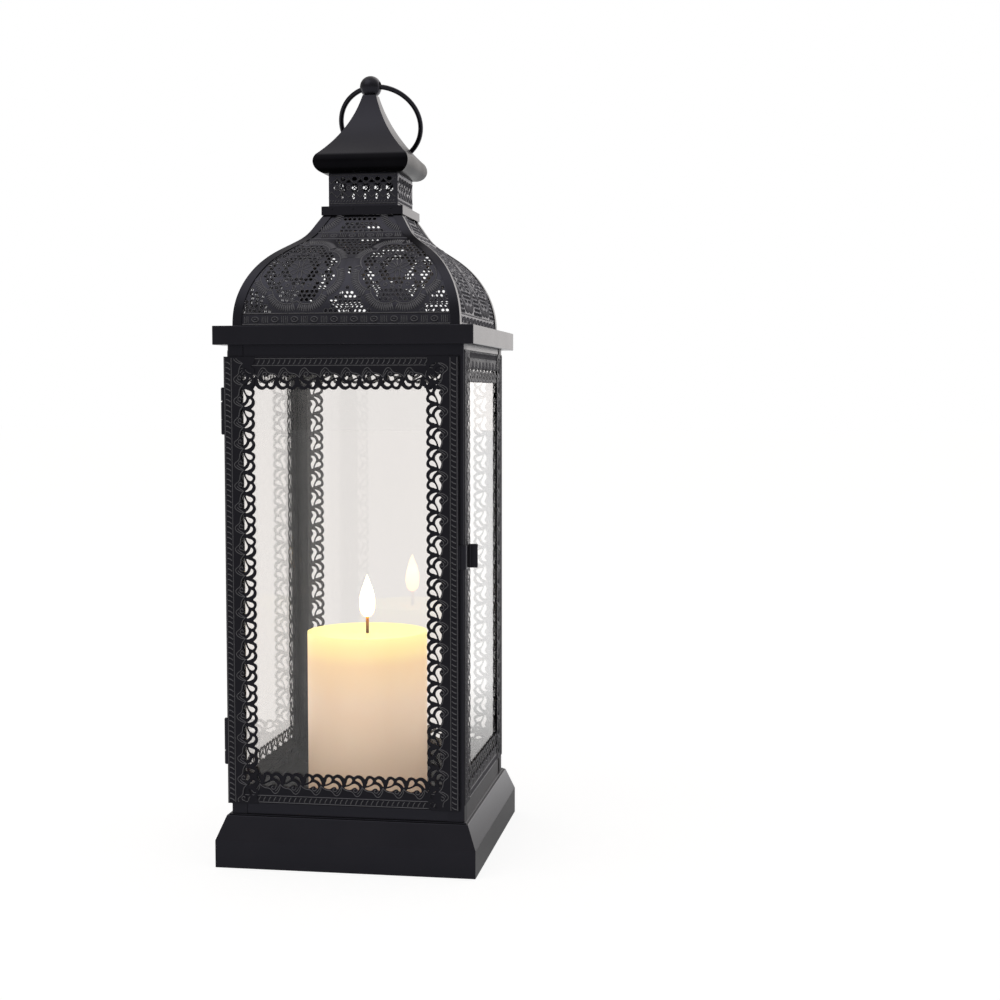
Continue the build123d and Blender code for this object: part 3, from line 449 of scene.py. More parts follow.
# ---------------------------------------------------------------- door
# A shallow steel tray with its own pane, faced with the same laced strip on all four edges.
# The upright strips are soldered over the ends of the level ones.
DOOR_LEFT, DOOR_RIGHT, DOOR_LOW, DOOR_HIGH = -75.0, 71.0, 39.7, 316.8
TRAY_SHEET = 0.6
DOOR_OUTSIDE = 77.2
CROSS_STEP = 0.5
dress("door_glass", pane_glass)
for name in ("door_rail_bottom", "door_rail_top", "door_stile_left", "door_stile_right"):
    dress(name, black_coat)
door_height = DOOR_HIGH - DOOR_LOW
door_width = DOOR_RIGHT - DOOR_LEFT - 2 * TRAY_SHEET
outer_face = DOOR_OUTSIDE - LACE_HALF_SHEET - LACE_ROUND
inner_face = outer_face - CROSS_STEP
for edge, length, notch, face, start, level, along in (
    ("left", door_height, 6.0, outer_face, DOOR_LEFT, DOOR_HIGH, "down"),
    ("right", door_height, 0.7, outer_face, DOOR_RIGHT, DOOR_LOW, "up"),
    ("top", door_width, 8.1, inner_face, DOOR_RIGHT - TRAY_SHEET, DOOR_HIGH - TRAY_SHEET, "left"),
    ("bottom", door_width, 8.5, inner_face, DOOR_LEFT + TRAY_SHEET, DOOR_LOW + TRAY_SHEET, "right"),
):
    strip = lace(length, notch)
    smooth(strip)
    place(strip, wall_frame("front", face, start, level, along))
    strip.name = f"laced_door_{edge}"
    settle(strip, "door", lace_coat, "black_metal", f"door_lace_{edge}")

# ---------------------------------------------------------------- hinges and latch
# Two small butt hinges with headed pins, and a latch of spring strip, soldered to the door's
# edge and folded round the corner post.
for name in ("hinge_leaves_post", "hinge_leaves_door", "hinge_pins"):
    dress(name, black_coat)
dress("door_latch", black_coat)

# ---------------------------------------------------------------- cornice
# A square channel folded from sheet, soldered to the tops of the posts. The dome's panels
# stand on its inner ledge.
dress("cornice", black_coat, 0.4 * MM)

# ---------------------------------------------------------------- dome
# Four ogee panels of pierced sheet: two embossed medallions on each, rows of punched holes
# between them, and beaded bands at the foot and the neck. Soldered under the folded ribs.
DOME_FOOT, DOME_TOP = 335.5, 407.1
DOME_WALL = 0.4
RIB_COVER = 5.6
PROFILE_STEPS, PROFILE_END = 144, 0.05
BEFORE_DOME = -200
TABLE_STEPS = 600
profile = []
panel_node = nodes["dome_panel_front"]
for step in range(PROFILE_STEPS + 1):
    height = (DOME_FOOT + PROFILE_END
              + (DOME_TOP - DOME_FOOT - 2 * PROFILE_END) * step / PROFILE_STEPS)
    spot = panel_node.ray_cast((0, BEFORE_DOME * MM, height * MM), (0, 1, 0))[1]
    profile.append((-spot[1] / MM, height))
arcs = [0.0]
for (r0, z0), (r1, z1) in zip(profile, profile[1:]):
    arcs.append(arcs[-1] + hypot(r1 - r0, z1 - z0))
DOME_ARC = arcs[-1]


def on_profile(arc):
    """Radius and height of the ogee at a length up its curve, and its outward direction."""
    arc = min(max(arc, 0.0), DOME_ARC)
    index = min(sum(1 for a in arcs[1:-1] if a <= arc), len(arcs) - 2)
    (r0, z0), (r1, z1) = profile[index], profile[index + 1]
    span = arcs[index + 1] - arcs[index]
    share = (arc - arcs[index]) / span
    return (r0 + (r1 - r0) * share, z0 + (z1 - z0) * share,
            (z1 - z0) / span, -(r1 - r0) / span)


profile_table = [on_profile(n * DOME_ARC / TABLE_STEPS) for n in range(TABLE_STEPS + 1)]


def bend_over_dome(piece):
    """Carry a piece drawn flat, x across and y up the curve, on to the front of the dome."""
    for vertex in piece.data.vertices:
        x, arc, lift = vertex.co
        spot = min(max(arc / DOME_ARC, 0.0), 1.0) * TABLE_STEPS
        low = min(int(spot), TABLE_STEPS - 1)
        share = spot - low
        radius, height, out, up = (a + (b - a) * share for a, b in
                                   zip(profile_table[low], profile_table[low + 1]))
        vertex.co = (x * MM, -(radius + lift * out) * MM, (height + lift * up) * MM)


MEDALLION_X, MEDALLION_Y = 30.8, 37.6
FOIL_SPREAD, FOIL_RADIUS, FOIL_BAND = 15.5, 14.6, 4.6
FOILS = [(0.0, 0.0, 20.0)] + [
    (FOIL_SPREAD * cos(pi / 8 + k * pi / 4), FOIL_SPREAD * sin(pi / 8 + k * pi / 4), FOIL_RADIUS)
    for k in range(8)]
FOIL_STEPS, WALK_STEPS = 144, 1440
GADROON_PITCH, GADROON_CREST = 1.5, 0.5
PLAIN_HALF, PLAIN_LEVEL, PLAIN_REACH = 7.5, 4.7, 3.8
HOLE_PITCH, ROW_SHARE = 3.05, 0.88
HOLE_RADIUS = 1.16
HOLE_FROM_BAND, HOLE_FROM_RIB = 1.5, 0.9 * RIB_COVER
BURR_RADIUS, BURR = 1.42, 0.16
FLOWER_FREE, CURL_INNER, CURL_OUTER = 7.7, 11.8, 16.0
CURL_RING, CURL_SIZE, CURLS, CURL_NARROWS, CURL_FREE = 13.9, 1.4, 18, 0.1, 0.4
CURL_TURNS = (3.6, 2.4, 1.2, 0.0, -1.2, -2.2)
PETALS = 6
PETAL = ((1.3, 0), (3.3, 1.15), (5.5, 1.4), (7.4, 0), (5.5, -1.4), (3.3, -1.15))
FAN_X, FAN_LEVEL, FAN_REACH = 27.0, 91.0, 15.6
FAN_RIBS, FAN_START, FAN_STEP = 15, -88, 6.2
FAN_LENGTH, FAN_CREST, FAN_FREE = 4.8, 0.4, 0.8
PUNCHED_ROWS = (
    (9.3, (-63.4, -60.4, -57.4, -54.2, -50.8, -47.6, 47.6, 50.8, 54.2, 57.4, 60.4, 63.2)),
    (12.1, (-62.4, -59.4, -56.3, -53.2, -50.2, 50.2, 53.2, 56.3, 59.4, 62.4)),
    (14.9, (-62.6, -59.4, -56.2, -53.2, 53.2, 56.2, 59.4, 62.6)),
    (17.7, (-62.4, -58.8, -55.6, -52.6, 53.0, 55.9, 58.9, 61.9)),
    (20.4, (-60.0, -56.6, 57.0, 60.0)),
    (23.2, (-59.6, 59.4)),
    (9.3, (-12.4, -9.4, -6.4, -3.4, -0.4, 2.6, 5.6, 8.6, 11.6, 14.6)),
    (12.1, (-8.2, -5.2, -2.2, 0.8, 3.8, 6.8, 9.8)),
    (14.9, (-9.2, -6.4, -3.4, -0.4, 2.6, 5.6, 8.6)),
    (17.7, (-6.2, -3.4, -0.4, 2.6, 5.6, 8.2)),
    (20.4, (-3.0, 0.2, 3.4)),
    (23.8, (0.5,)),
    (67.0, (-12.4, -9.4, -6.3, -3.2, 0.2, 3.5, 7.0, 10.1, 13.2)),
    (63.9, (-10.6, -7.6, -4.5, -1.3, 1.9, 5.0, 8.1, 11.0)),
    (60.8, (-9.4, -6.3, -3.2, -0.1, 3.0, 6.1, 9.0)),
    (57.6, (-7.4, -4.4, -1.4, 1.6, 4.6, 7.4)),
    (54.4, (-5.6, -2.6, 0.4, 3.4, 5.8)),
    (51.0, (-2.4, 0.9, 3.6)),
    (38.0, (0.4,)),
    (34.9, (0.7,)),
    (76.0, (-12.0, -9.0, -6.0, -3.0, 0.5, 3.6, 7.2, 10.5, 13.8)),
    (79.0, (-11.0, -7.5, -4.2, -0.9, 2.2, 5.6, 8.6, 11.7)),
    (81.7, (-9.0, -5.8, -2.5, 0.5, 3.5, 6.5, 9.8)),
    (85.4, (-10.5, -7.7, -4.7, -1.4, 1.7, 5.1, 8.2)),
)
BARS_BETWEEN, BAR_PITCH, EYE_BEAD = 4, 1.15, 0.5
BAND_EDGES, BAND_END = (0.9, 7.5, 68.6, 74.9), 0.4
OUTLINE_STEPS, BENDS = 24, 40
DOME_SMOOTH = 45


def panel_half(arc):
    """Half the panel's width at a length up its curve."""
    return profile_table[min(max(int(arc / DOME_ARC * TABLE_STEPS), 0), TABLE_STEPS)][0]


def shown(line, margin=0.0):
    """The stretches of a line that lie between the ribs."""
    stretches = [[]]
    for point in line:
        if abs(point[0]) < panel_half(point[1]) - RIB_COVER - margin:
            stretches[-1].append(point)
        elif stretches[-1]:
            stretches.append([])
    return [stretch for stretch in stretches if len(stretch) > 2]


def in_foils(x, y, trim):
    """Whether a place, from a medallion's middle, is inside its lobed outline by a margin."""
    return any(hypot(x - fx, y - fy) < radius - trim for fx, fy, radius in FOILS)


def foil_edge(angle, inset):
    """Where a ray from a medallion's middle leaves its outline, and the way outwards there."""
    reaches = []
    for x, y, radius in FOILS:
        along = x * cos(angle) + y * sin(angle)
        aside = x * sin(angle) - y * cos(angle)
        if abs(aside) < radius - inset:
            reach = along + sqrt((radius - inset) ** 2 - aside ** 2)
            reaches.append((reach, x, y, radius - inset))
    reach, x, y, radius = max(reaches)
    edge_x, edge_y = reach * cos(angle), reach * sin(angle)
    return edge_x, edge_y, (edge_x - x) / radius, (edge_y - y) / radius


def arched(x, y, dx, dy, length, crest):
    """A short rib from a place inwards: low at its ends and high in its middle."""
    return [(x - dx * length * share, y - dy * length * share, height)
            for share, height in ((0.0, -0.1), (0.45, crest), (0.95, 0.0))]


holes = []
for side in (-1, 1):
    for row in range(-9, 10):
        for column in range(-9, 10):
            x = (column + 0.5 * (row % 2)) * HOLE_PITCH
            y = row * HOLE_PITCH * ROW_SHARE
            r = hypot(x, y)
            if FLOWER_FREE < r < CURL_INNER or (
                    r > CURL_OUTER and in_foils(x, y, FOIL_BAND + HOLE_FROM_BAND)):
                holes.append((side * MEDALLION_X + x, MEDALLION_Y + y))
for arc, places in PUNCHED_ROWS:
    holes += [(x, arc) for x in places]
lines = []
edge = [(panel_half(a), a) for a in [DOME_ARC * n / OUTLINE_STEPS
                                     for n in range(OUTLINE_STEPS + 1)]]
lines.append((edge + [(-x, a) for x, a in reversed(edge)], True, False))
burrs = []
for x, y in holes:
    if abs(x) + HOLE_RADIUS < panel_half(y) - HOLE_FROM_RIB:
        for group, radius in ((lines, HOLE_RADIUS), (burrs, BURR_RADIUS)):
            group.append(([(x + radius * cos(k * pi / 4), y + radius * sin(k * pi / 4))
                           for k in range(8)], True, False))
sheet = to_solid(draw("dome_sheet", lines), turn_outwards=False)
bpy.ops.object.mode_set(mode="EDIT")
for level in range(1, BENDS):
    bpy.ops.mesh.select_all(action="SELECT")
    bpy.ops.mesh.bisect(plane_co=(0, DOME_ARC * level / BENDS, 0), plane_no=(0, 1, 0))
bpy.ops.mesh.select_all(action="SELECT")
bpy.ops.mesh.remove_doubles(threshold=MERGE_REACH)
bpy.ops.object.mode_set(mode="OBJECT")
bend_over_dome(sheet)
if sheet.data.polygons[0].normal.y > 0:
    sheet.data.flip_normals()
wall = sheet.modifiers.new("wall", "SOLIDIFY")
wall.thickness = DOME_WALL * MM
wall.offset = -1
bpy.ops.object.modifier_apply(modifier="wall")

swells, gadroons, rims, loops, bars, beads = [], [], [], [], [], []
for middle in (-MEDALLION_X, MEDALLION_X):
    for inset, group in ((FOIL_BAND / 2, swells), (FOIL_BAND, rims)):
        line = []
        for step in range(FOIL_STEPS + 1):
            x, y = foil_edge(2 * pi * step / FOIL_STEPS, inset)[:2]
            line.append((middle + x, MEDALLION_Y + y))
        group += [(stretch, False, False) for stretch in shown(line)]
    last = foil_edge(0, 0.0)
    walked = 0.0
    for step in range(1, WALK_STEPS + 1):
        spot = foil_edge(2 * pi * step / WALK_STEPS, 0.0)
        walked += hypot(spot[0] - last[0], spot[1] - last[1])
        last = spot
        x, y, dx, dy = middle + spot[0], MEDALLION_Y + spot[1], spot[2], spot[3]
        if walked > GADROON_PITCH:
            walked -= GADROON_PITCH
            plain = abs(x) <= PLAIN_HALF and abs(spot[1] - PLAIN_LEVEL) <= PLAIN_REACH
            if shown([(x, y)] * 3) and not plain:
                gadroons.append((arched(x, y, dx, dy, FOIL_BAND, GADROON_CREST), False, True))
    for number in range(CURLS):
        angle = 2 * pi * number / CURLS
        x, y = middle + CURL_RING * cos(angle), MEDALLION_Y + CURL_RING * sin(angle)
        turn = [(x + CURL_SIZE * (1 - CURL_NARROWS * k) * cos(angle + t),
                 y + CURL_SIZE * (1 - CURL_NARROWS * k) * sin(angle + t))
                for k, t in enumerate(CURL_TURNS)]
        loops += [(stretch, False, True) for stretch in shown(turn, CURL_FREE)
                  if len(stretch) == len(CURL_TURNS)]
    for number in range(PETALS):
        angle = pi / 2 + 2 * pi * number / PETALS
        petal = [(middle + along * cos(angle) - across * sin(angle),
                  MEDALLION_Y + along * sin(angle) + across * cos(angle))
                 for along, across in PETAL]
        loops.append((petal, True, True))
    for number in range(FAN_RIBS):
        angle = radians(FAN_START + FAN_STEP * number)
        dx, dy = -cos(angle), sin(angle)
        side = 1 if middle > 0 else -1
        x, y = side * (FAN_X + FAN_REACH * dx), FAN_LEVEL + FAN_REACH * dy
        if shown([(x, y)] * 3) and y < DOME_ARC - FAN_FREE:
            fan_rib = arched(x, y, side * dx, dy, FAN_LENGTH, FAN_CREST)
            gadroons.append((fan_rib, False, True))


def frieze(first, pitch, level, half_height, eye_half, eye_height):
    """A band of eyes at an even pitch with four upright bars between each two."""
    for number in range(-6, 7):
        centre = first + pitch * number
        eye = [(centre + eye_half * cos(k * pi / 4), level + eye_height * sin(k * pi / 4))
               for k in range(8)]
        if len(shown(eye)) == 1 and len(shown(eye)[0]) == 8:
            loops.append((eye, True, True))
            beads.append(([(centre - EYE_BEAD, level), (centre + EYE_BEAD, level)],
                          False, False))
        for bar in range(BARS_BETWEEN):
            x = centre + pitch / 2 + (bar - (BARS_BETWEEN - 1) / 2) * BAR_PITCH
            if shown([(x, level)] * 3):
                bars.append(([(x, level - half_height), (x, level + half_height)], False, False))


frieze(first=-7.0, pitch=12.45, level=3.9, half_height=2.0, eye_half=2.1, eye_height=1.5)
frieze(first=7.4, pitch=11.8, level=72.0, half_height=1.9, eye_half=2.0, eye_height=1.3)
for arc in BAND_EDGES:
    reach = panel_half(arc) - RIB_COVER + BAND_END
    rims.append(([(-reach, arc), (reach, arc)], False, False))
relief = []
for name, group, radius, flatten in (
    ("swell", swells, 2.2, 0.18), ("gadroon", gadroons, 0.42, 1.0), ("bar", bars, 0.45, 1.0),
    ("rim", rims, 0.55, 1.0), ("loop", loops, 0.55, 0.9), ("bead", beads, 0.65, 1.0),
    ("burr", burrs, BURR, 1.0),
):
    raised = press_up(f"dome_{name}", group, radius)
    for vertex in raised.data.vertices:
        vertex.co.z *= flatten
    if name != "swell":
        paint_crest_highlight(raised, radius)
    bend_over_dome(raised)
    relief.append(raised)
dome_front = join([sheet, *relief], "pierced_dome_front")
smooth(dome_front, DOME_SMOOTH)
dome_coat = powder_coat("dome_coat", 0.34, 0.42, 0.85)
for number, side in enumerate(("front", "right", "back", "left")):
    panel = dome_front if side == "front" else copy_of(dome_front, f"pierced_dome_{side}")
    panel.data.transform(Matrix.Rotation(number * pi / 2, 4, "Z"))
    settle(panel, "lantern", dome_coat, "black_metal", f"dome_panel_{side}")
for corner in ("front_left", "front_right", "back_left", "back_right"):
    dress(f"dome_rib_{corner}", black_coat)

# ---------------------------------------------------------------- collar and chimney
# A flat steel collar closes the neck of the dome. The chimney is a square tube of pierced
# sheet: a zigzag with punched pits over a lattice of crossed bars and rosettes.
COLLAR_TOP, COLLAR_HALF = 412.7, 26.4
CHIMNEY_HALF, CHIMNEY_HIGH, CHIMNEY_WALL = 22.4, 20.8, 0.3
dress("collar", black_coat, 0.5 * MM)
LATTICE_PITCH, LATTICE_FIRST, LATTICE_LEVEL = 7.5, 1.9, 11.9
PIT_OFFSET = 5.5
HIGH_PIT, LOW_PIT = (0.0, 1.6, 1.25), (-0.7, 0.85, 1.7)
ZIGZAG_LOW, ZIGZAG_HIGH = 2.5, 6.2
CROSS_GAPS = (((-2.1, 2.5), (2.1, 2.5), (0.0, 0.45)), ((0.5, 0.0), (2.4, 1.9), (2.4, -1.9)))
SUNK_GAP = ((-2.0, 3.2), (2.0, 3.2), (0.0, 5.3))
PANEL_LEFT, PANEL_RIGHT = -21.7, 21.1
ROSETTE_RADIUS, ROSETTE_FREE, ROSETTE_DOT = 1.4, 1.9, 0.3
SLANT_STEPS, SLANT = 4, ((-0.45, 2.9), (0.35, 4.1))
BORDER_LEVELS = (1.9, 19.9)
CHIMNEY_ROUND = 0.05
GAP_FREE = 0.2
WELD_MARKS, WELD_LEVEL, WELD_RADIUS = (-19.3, -5.7, 18.6), 411.0, 0.55


def zigzag_at(x):
    """Height of the zigzag ridge over the middle line: low at the pits, high between them."""
    phase = abs((x - LATTICE_FIRST) / LATTICE_PITCH % 1.0 - 0.5)
    return ZIGZAG_HIGH - (ZIGZAG_HIGH - ZIGZAG_LOW) * 2 * phase


gaps, rosettes, dots = [], [], []
for number in range(-3, 3):
    centre = LATTICE_FIRST + LATTICE_PITCH * number
    between = centre + LATTICE_PITCH / 2
    gaps.append([(between + x, LATTICE_LEVEL + z) for x, z in SUNK_GAP])
    for flip, (aside, half, rise) in ((1, HIGH_PIT), (-1, LOW_PIT)):
        gaps.append([(centre + aside + half * cos(k * pi / 4),
                      LATTICE_LEVEL + flip * PIT_OFFSET + rise * sin(k * pi / 4))
                     for k in range(8)])
        gaps.append([(centre + x, LATTICE_LEVEL + flip * z) for x, z in CROSS_GAPS[0]])
        gaps.append([(centre + flip * x, LATTICE_LEVEL + z) for x, z in CROSS_GAPS[1]])
    if between < PANEL_RIGHT - ROSETTE_FREE:
        rosettes.append(([(between + ROSETTE_RADIUS * cos(k * pi / 4),
                           LATTICE_LEVEL + ROSETTE_RADIUS * sin(k * pi / 4))
                          for k in range(8)], True, True))
        dots.append(([(between - ROSETTE_DOT, LATTICE_LEVEL),
                      (between + ROSETTE_DOT, LATTICE_LEVEL)], False, False))
    for step in range(SLANT_STEPS):
        x = centre + (step - (SLANT_STEPS - 1) / 2) * LATTICE_PITCH / SLANT_STEPS
        if PANEL_LEFT < x < PANEL_RIGHT:
            dots.append(([(x + aside, level) for aside, level in SLANT], False, False))
sheet_right = CHIMNEY_HALF - CHIMNEY_WALL
sheet_outline = ((-CHIMNEY_HALF, 0), (sheet_right, 0),
                 (sheet_right, CHIMNEY_HIGH), (-CHIMNEY_HALF, CHIMNEY_HIGH))
lines = [(sheet_outline, True, False)]
lines += [(gap, True, len(gap) > 3) for gap in gaps
          if all(PANEL_LEFT - GAP_FREE < x < PANEL_RIGHT for x, z in gap)]
stops = [LATTICE_FIRST + LATTICE_PITCH * n / 2 for n in range(-6, 6)]
stops = [PANEL_LEFT, *[x for x in stops if PANEL_LEFT < x < PANEL_RIGHT], PANEL_RIGHT]
zigzag = [([(x, LATTICE_LEVEL + flip * zigzag_at(x)) for x in stops], False, False)
          for flip in (1, -1)]
borders = [([(PANEL_LEFT, z), (PANEL_RIGHT, z)], False, False) for z in BORDER_LEVELS]
half_flat = CHIMNEY_WALL / 2 - CHIMNEY_ROUND
parts = [to_solid(draw("chimney_sheet", lines, half_flat, CHIMNEY_ROUND))]
for name, group, radius in (("zigzag", zigzag, 0.55), ("rosette", rosettes, 0.45),
                            ("dot", dots, 0.45), ("border", borders, 0.38)):
    raised = press_up(f"chimney_{name}", group, radius)
    paint_crest_highlight(raised, radius)
    for vertex in raised.data.vertices:
        vertex.co.z += half_flat
    parts.append(raised)
chimney_side = join(parts, "chimney_side")
smooth(chimney_side)
sides = []
for side in ("front", "right", "back", "left"):
    panel = copy_of(chimney_side, "chimney_panel")
    place(panel, wall_frame(side, CHIMNEY_HALF - CHIMNEY_WALL / 2, 0, COLLAR_TOP, "right"))
    sides.append(panel)
bpy.data.objects.remove(chimney_side)
settle(join(sides, "pierced_chimney"), "lantern", dome_coat, "black_metal", "chimney")
dimples = []
for number in (0, 2):
    for x in WELD_MARKS:
        bpy.ops.mesh.primitive_uv_sphere_add(segments=12, ring_count=6, radius=WELD_RADIUS * MM)
        dimple = bpy.context.object
        dimple.data.transform(Matrix.Rotation(number * pi / 2, 4, "Z")
                              @ Matrix.Translation(Vector((x, -COLLAR_HALF, WELD_LEVEL)) * MM))
        dimples.append(dimple)
weld_marks = join(dimples, "collar_weld_marks")
smooth(weld_marks)
settle(weld_marks, "lantern", black_coat, "black_metal")

# ---------------------------------------------------------------- cap, ball and ring
# A concave pyramid of pressed sheet with a rolled edge, a turned ball screwed on top of it,
# and a ring of wire through the ball. The rolled edge is duller than the slopes.
ROLL_TOP, ROLL_BELOW, ROLL_ABOVE = 445.0, 0.6, 0.9
ROLL_GLOSS, SLOPE_GLOSS = 0.07, 0.5


def axes_of(tree, direction):
    """The X, Y and Z of a place or a direction."""
    axes = tree.nodes.new("ShaderNodeSeparateXYZ")
    tree.links.new(direction, axes.inputs["Vector"])
    return axes.outputs


def plain_finish(name, colour, grain, rough_low, rough_high):
    """One colour, with a fine grain in how dull it is."""
    material, tree, shader, place_of = new_material(name)
    shader.inputs["Base Color"].default_value = colour
    tree.links.new(range_of(tree, noise_of(tree, place_of, grain), 0.3, 0.7, rough_low, rough_high),
                   shader.inputs["Roughness"])
    return material, tree, shader, place_of


cap_coat = powder_coat("cap_coat", 0.27, 0.36)
tree = cap_coat.node_tree
height = axes_of(tree, tree.nodes["Texture Coordinate"].outputs["Object"])["Z"]
tree.links.new(range_of(tree, height, (ROLL_TOP - ROLL_BELOW) * MM, (ROLL_TOP + ROLL_ABOVE) * MM,
                        ROLL_GLOSS, SLOPE_GLOSS),
               tree.nodes["Principled BSDF"].inputs["Specular IOR Level"])
dress("cap", cap_coat)
dress("finial_ball", black_coat)
wire_coat = powder_coat("wire_coat", 0.3, 0.4)
dress("handle_ring", wire_coat)
steel, _, shader, _ = plain_finish("zinc_steel", (0.55, 0.55, 0.56, 1), 900, 0.25, 0.45)
shader.inputs["Metallic"].default_value = 1.0
dress("finial_screw", steel)

# ---------------------------------------------------------------- candle
# An ivory wax shell over a plastic battery housing, dished at the top round a dark wick that
# carries the glowing flame tip. The wax is lit from inside, most at its top.
CANDLE_FOOT, CANDLE_TOP = 32.5, 138.4
WICK_LOW, WICK_HIGH = 138, 148
FLAME_LOW, FLAME_HIGH = 147, 176
WAX_GLOW, FLAME_GLOW = 0.86, 11.0


def level_of(tree, place_of, low, high):
    """How far up between two levels, from 0 to 1."""
    return range_of(tree, axes_of(tree, place_of)["Z"], low * MM, high * MM, 0, 1)


wax, tree, shader, place_of = new_material("ivory_wax")
up = level_of(tree, place_of, CANDLE_FOOT, CANDLE_TOP)
glow = ramp_of(tree, up, (
    (0.0, (0.26, 0.18, 0.12, 1)), (0.35, (0.43, 0.31, 0.22, 1)), (0.6, (0.61, 0.44, 0.31, 1)),
    (0.83, (0.75, 0.50, 0.25, 1)), (0.94, (0.97, 0.78, 0.27, 1)), (1.0, (1.0, 0.98, 0.32, 1))))
tree.links.new(glow, shader.inputs["Emission Color"])
shader.inputs["Emission Strength"].default_value = WAX_GLOW
wax_tone = ramp_of(tree, noise_of(tree, place_of, 30, 3), (
    (0.3, (0.76, 0.6, 0.43, 1)), (0.7, (0.82, 0.67, 0.5, 1))))
tree.links.new(wax_tone, shader.inputs["Base Color"])
shader.inputs["Roughness"].default_value = 0.42
shader.inputs["Subsurface Weight"].default_value = 0.25
shader.inputs["Subsurface Scale"].default_value = 0.006
shader.inputs["Subsurface Radius"].default_value = (1.0, 0.6, 0.3)
bump_of(tree, shader, noise_of(tree, place_of, 120, 3), 0.15, 0.0004)
dress("candle_wax", wax)

wick, tree, shader, place_of = new_material("wick")
up = level_of(tree, place_of, WICK_LOW, WICK_HIGH)
# Painted glow of the flame on the wick: dark at its foot, a lit orange towards its tip.
tree.links.new(ramp_of(tree, up, ((0.0, (0.12, 0.05, 0.01, 1)), (0.6, (0.4, 0.17, 0.02, 1)),
                                  (1.0, (0.7, 0.32, 0.04, 1)))), shader.inputs["Base Color"])
shader.inputs["Roughness"].default_value = 0.8
bump_of(tree, shader, noise_of(tree, place_of, 2500), 0.5, 0.0002)
dress("candle_wick", wick)

flame, tree, shader, place_of = new_material("flame_bulb")
up = level_of(tree, place_of, FLAME_LOW, FLAME_HIGH)
shader.inputs["Base Color"].default_value = (1.0, 0.85, 0.6, 1)
tree.links.new(ramp_of(tree, up, ((0.0, (1.0, 0.42, 0.09, 1)), (0.25, (1.0, 0.6, 0.2, 1)),
                                  (0.6, (1.0, 0.7, 0.34, 1)), (1.0, (1.0, 0.62, 0.24, 1)))),
               shader.inputs["Emission Color"])
shader.inputs["Emission Strength"].default_value = FLAME_GLOW
shader.inputs["Roughness"].default_value = 0.35
dress("candle_flame", flame)

housing, tree, shader, place_of = plain_finish(
    "housing_plastic", (0.8, 0.76, 0.68, 1), 700, 0.4, 0.5)
bump_of(tree, shader, noise_of(tree, place_of, 1800), 0.2, 0.00005)
dress("battery_housing", housing, 0.3 * MM)
dress("battery_cover", housing, 0.3 * MM)
jacket = plain_finish("cell_jacket", (0.08, 0.08, 0.09, 1), 300, 0.15, 0.25)[0]
dress("battery_cells", jacket)
switch_plastic = plain_finish("switch_plastic", (0.03, 0.03, 0.03, 1), 900, 0.45, 0.6)[0]
dress("candle_switch", switch_plastic, 0.2 * MM)

# ---------------------------------------------------------------- studio
# A pale floor that meets a white background, soft light from all round and one wide lamp above.
# Floor and background have one strength for the camera and another for what the metal mirrors.
FLOOR_LEVEL, FLOOR_SIZE = -0.0003, 24
FLOOR_SEEN, FLOOR_SOFT = 0.86, 0.0
ROOM_SEEN, ROOM_SOFT = 1.0, 0.58
BACKGROUND_WHITE, BACKGROUND_WARM = (1, 1, 1, 1), (1.0, 0.965, 0.94, 1)
LAMP_PLACE, LAMP_AIM = (-0.9, -1.3, 2.1), (0.9, 1.3, -1.85)
LAMP_SIZE, LAMP_POWER = 2.0, 7
CAMERA_PLACE, CAMERA_TILT, CAMERA_TURN = (0.2476, -1.0421, 0.2939), 86.289, 8.906
CAMERA_LENS, SENSOR_WIDTH = 58.79, 36


def work_out(tree, operation, first, second):
    """One number from two."""
    maths = tree.nodes.new("ShaderNodeMath")
    maths.operation = operation
    tree.links.new(first, maths.inputs[0])
    tree.links.new(second, maths.inputs[1])
    return maths.outputs[0]


def seen_directly(tree):
    """Whether a ray comes from the camera, straight or through the panes."""
    rays = tree.nodes.new("ShaderNodeLightPath").outputs
    return work_out(tree, "MAXIMUM", rays["Is Camera Ray"], rays["Is Transmission Ray"])


def by_ray(tree, seen, mirrored, soft, direct):
    """One strength for light on dull surfaces, one for reflections and one for the camera."""
    rays = tree.nodes.new("ShaderNodeLightPath")
    reflected = tree.nodes.new("ShaderNodeMix")
    reflected.inputs["A"].default_value = soft
    tree.links.new(rays.outputs["Is Glossy Ray"], reflected.inputs["Factor"])
    tree.links.new(mirrored, reflected.inputs["B"])
    whole = tree.nodes.new("ShaderNodeMix")
    whole.inputs["B"].default_value = direct
    tree.links.new(seen, whole.inputs["Factor"])
    tree.links.new(reflected.outputs["Result"], whole.inputs["A"])
    return whole.outputs["Result"]


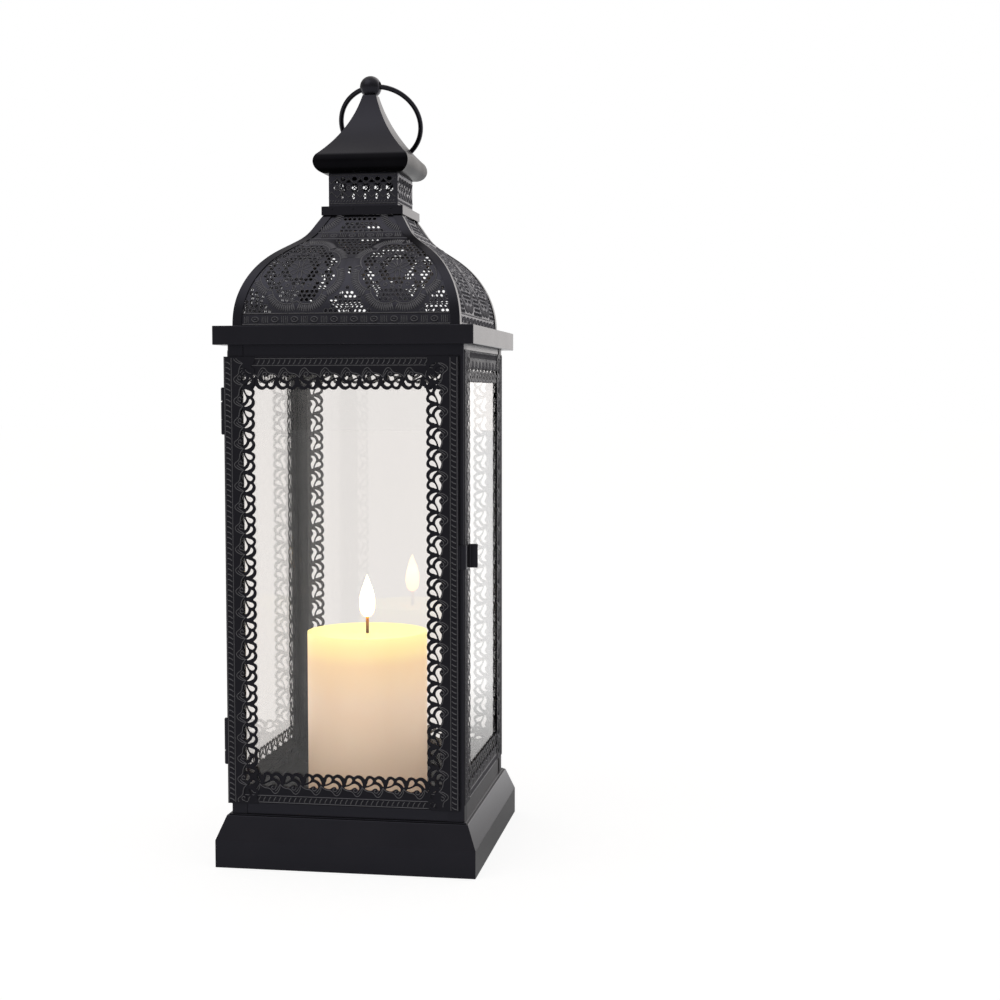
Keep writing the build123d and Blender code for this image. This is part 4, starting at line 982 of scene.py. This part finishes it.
pick_nothing()
bpy.ops.mesh.primitive_plane_add(size=FLOOR_SIZE, location=(0, 0, FLOOR_LEVEL))
floor = bpy.context.object
floor.name = "studio_floor"
material, tree, shader, place_of = new_material("studio_floor")
shader.inputs["Base Color"].default_value = (0.25, 0.25, 0.25, 1)
shader.inputs["Roughness"].default_value = 1.0
shader.inputs["Specular IOR Level"].default_value = 0.0
shader.inputs["Emission Color"].default_value = (1, 1, 1, 1)
depth = axes_of(tree, place_of)["Y"]
before = range_of(tree, depth, -0.25, 0.0, 0.42, 0.22)
behind = range_of(tree, depth, 0.15, 0.6, 0.0, 1.2)
mirrored = work_out(tree, "MAXIMUM", before, behind)
tree.links.new(by_ray(tree, seen_directly(tree), mirrored, FLOOR_SOFT, FLOOR_SEEN),
               shader.inputs["Emission Strength"])
floor.data.materials.append(material)

world = bpy.data.worlds.new("studio")
bpy.context.scene.world = world
world.use_nodes = True
tree = world.node_tree
background = tree.nodes["Background"]
way = axes_of(tree, tree.nodes.new("ShaderNodeTexCoord").outputs["Generated"])
rightward = range_of(tree, way["X"], -0.2, 0.15, 0.0, 1.7)
behind = work_out(tree, "MULTIPLY", range_of(tree, way["Y"], -0.05, 0.5, 0.0, 1.0), rightward)
overhead = range_of(tree, way["Z"], 0.45, 0.85, 0.3, 0.68)
mirrored = work_out(tree, "MAXIMUM", behind, overhead)
seen = seen_directly(tree)
tree.links.new(by_ray(tree, seen, mirrored, ROOM_SOFT, ROOM_SEEN), background.inputs["Strength"])
tree.links.new(ramp_of(tree, seen, ((0.0, BACKGROUND_WARM), (1.0, BACKGROUND_WHITE))),
               background.inputs["Color"])

bpy.ops.object.light_add(type="AREA", location=LAMP_PLACE)
lamp = bpy.context.object
lamp.name = "soft_box"
lamp.data.shape = "SQUARE"
lamp.data.size = LAMP_SIZE
lamp.data.energy = LAMP_POWER
lamp.rotation_euler = Vector(LAMP_AIM).to_track_quat("-Z", "Y").to_euler()

bpy.ops.object.camera_add(
    location=CAMERA_PLACE, rotation=(radians(CAMERA_TILT), 0, radians(CAMERA_TURN)))
camera = bpy.context.object
camera.data.lens = CAMERA_LENS
camera.data.sensor_width = SENSOR_WIDTH
bpy.context.scene.camera = camera

bpy.context.scene.view_settings.view_transform = "Standard"
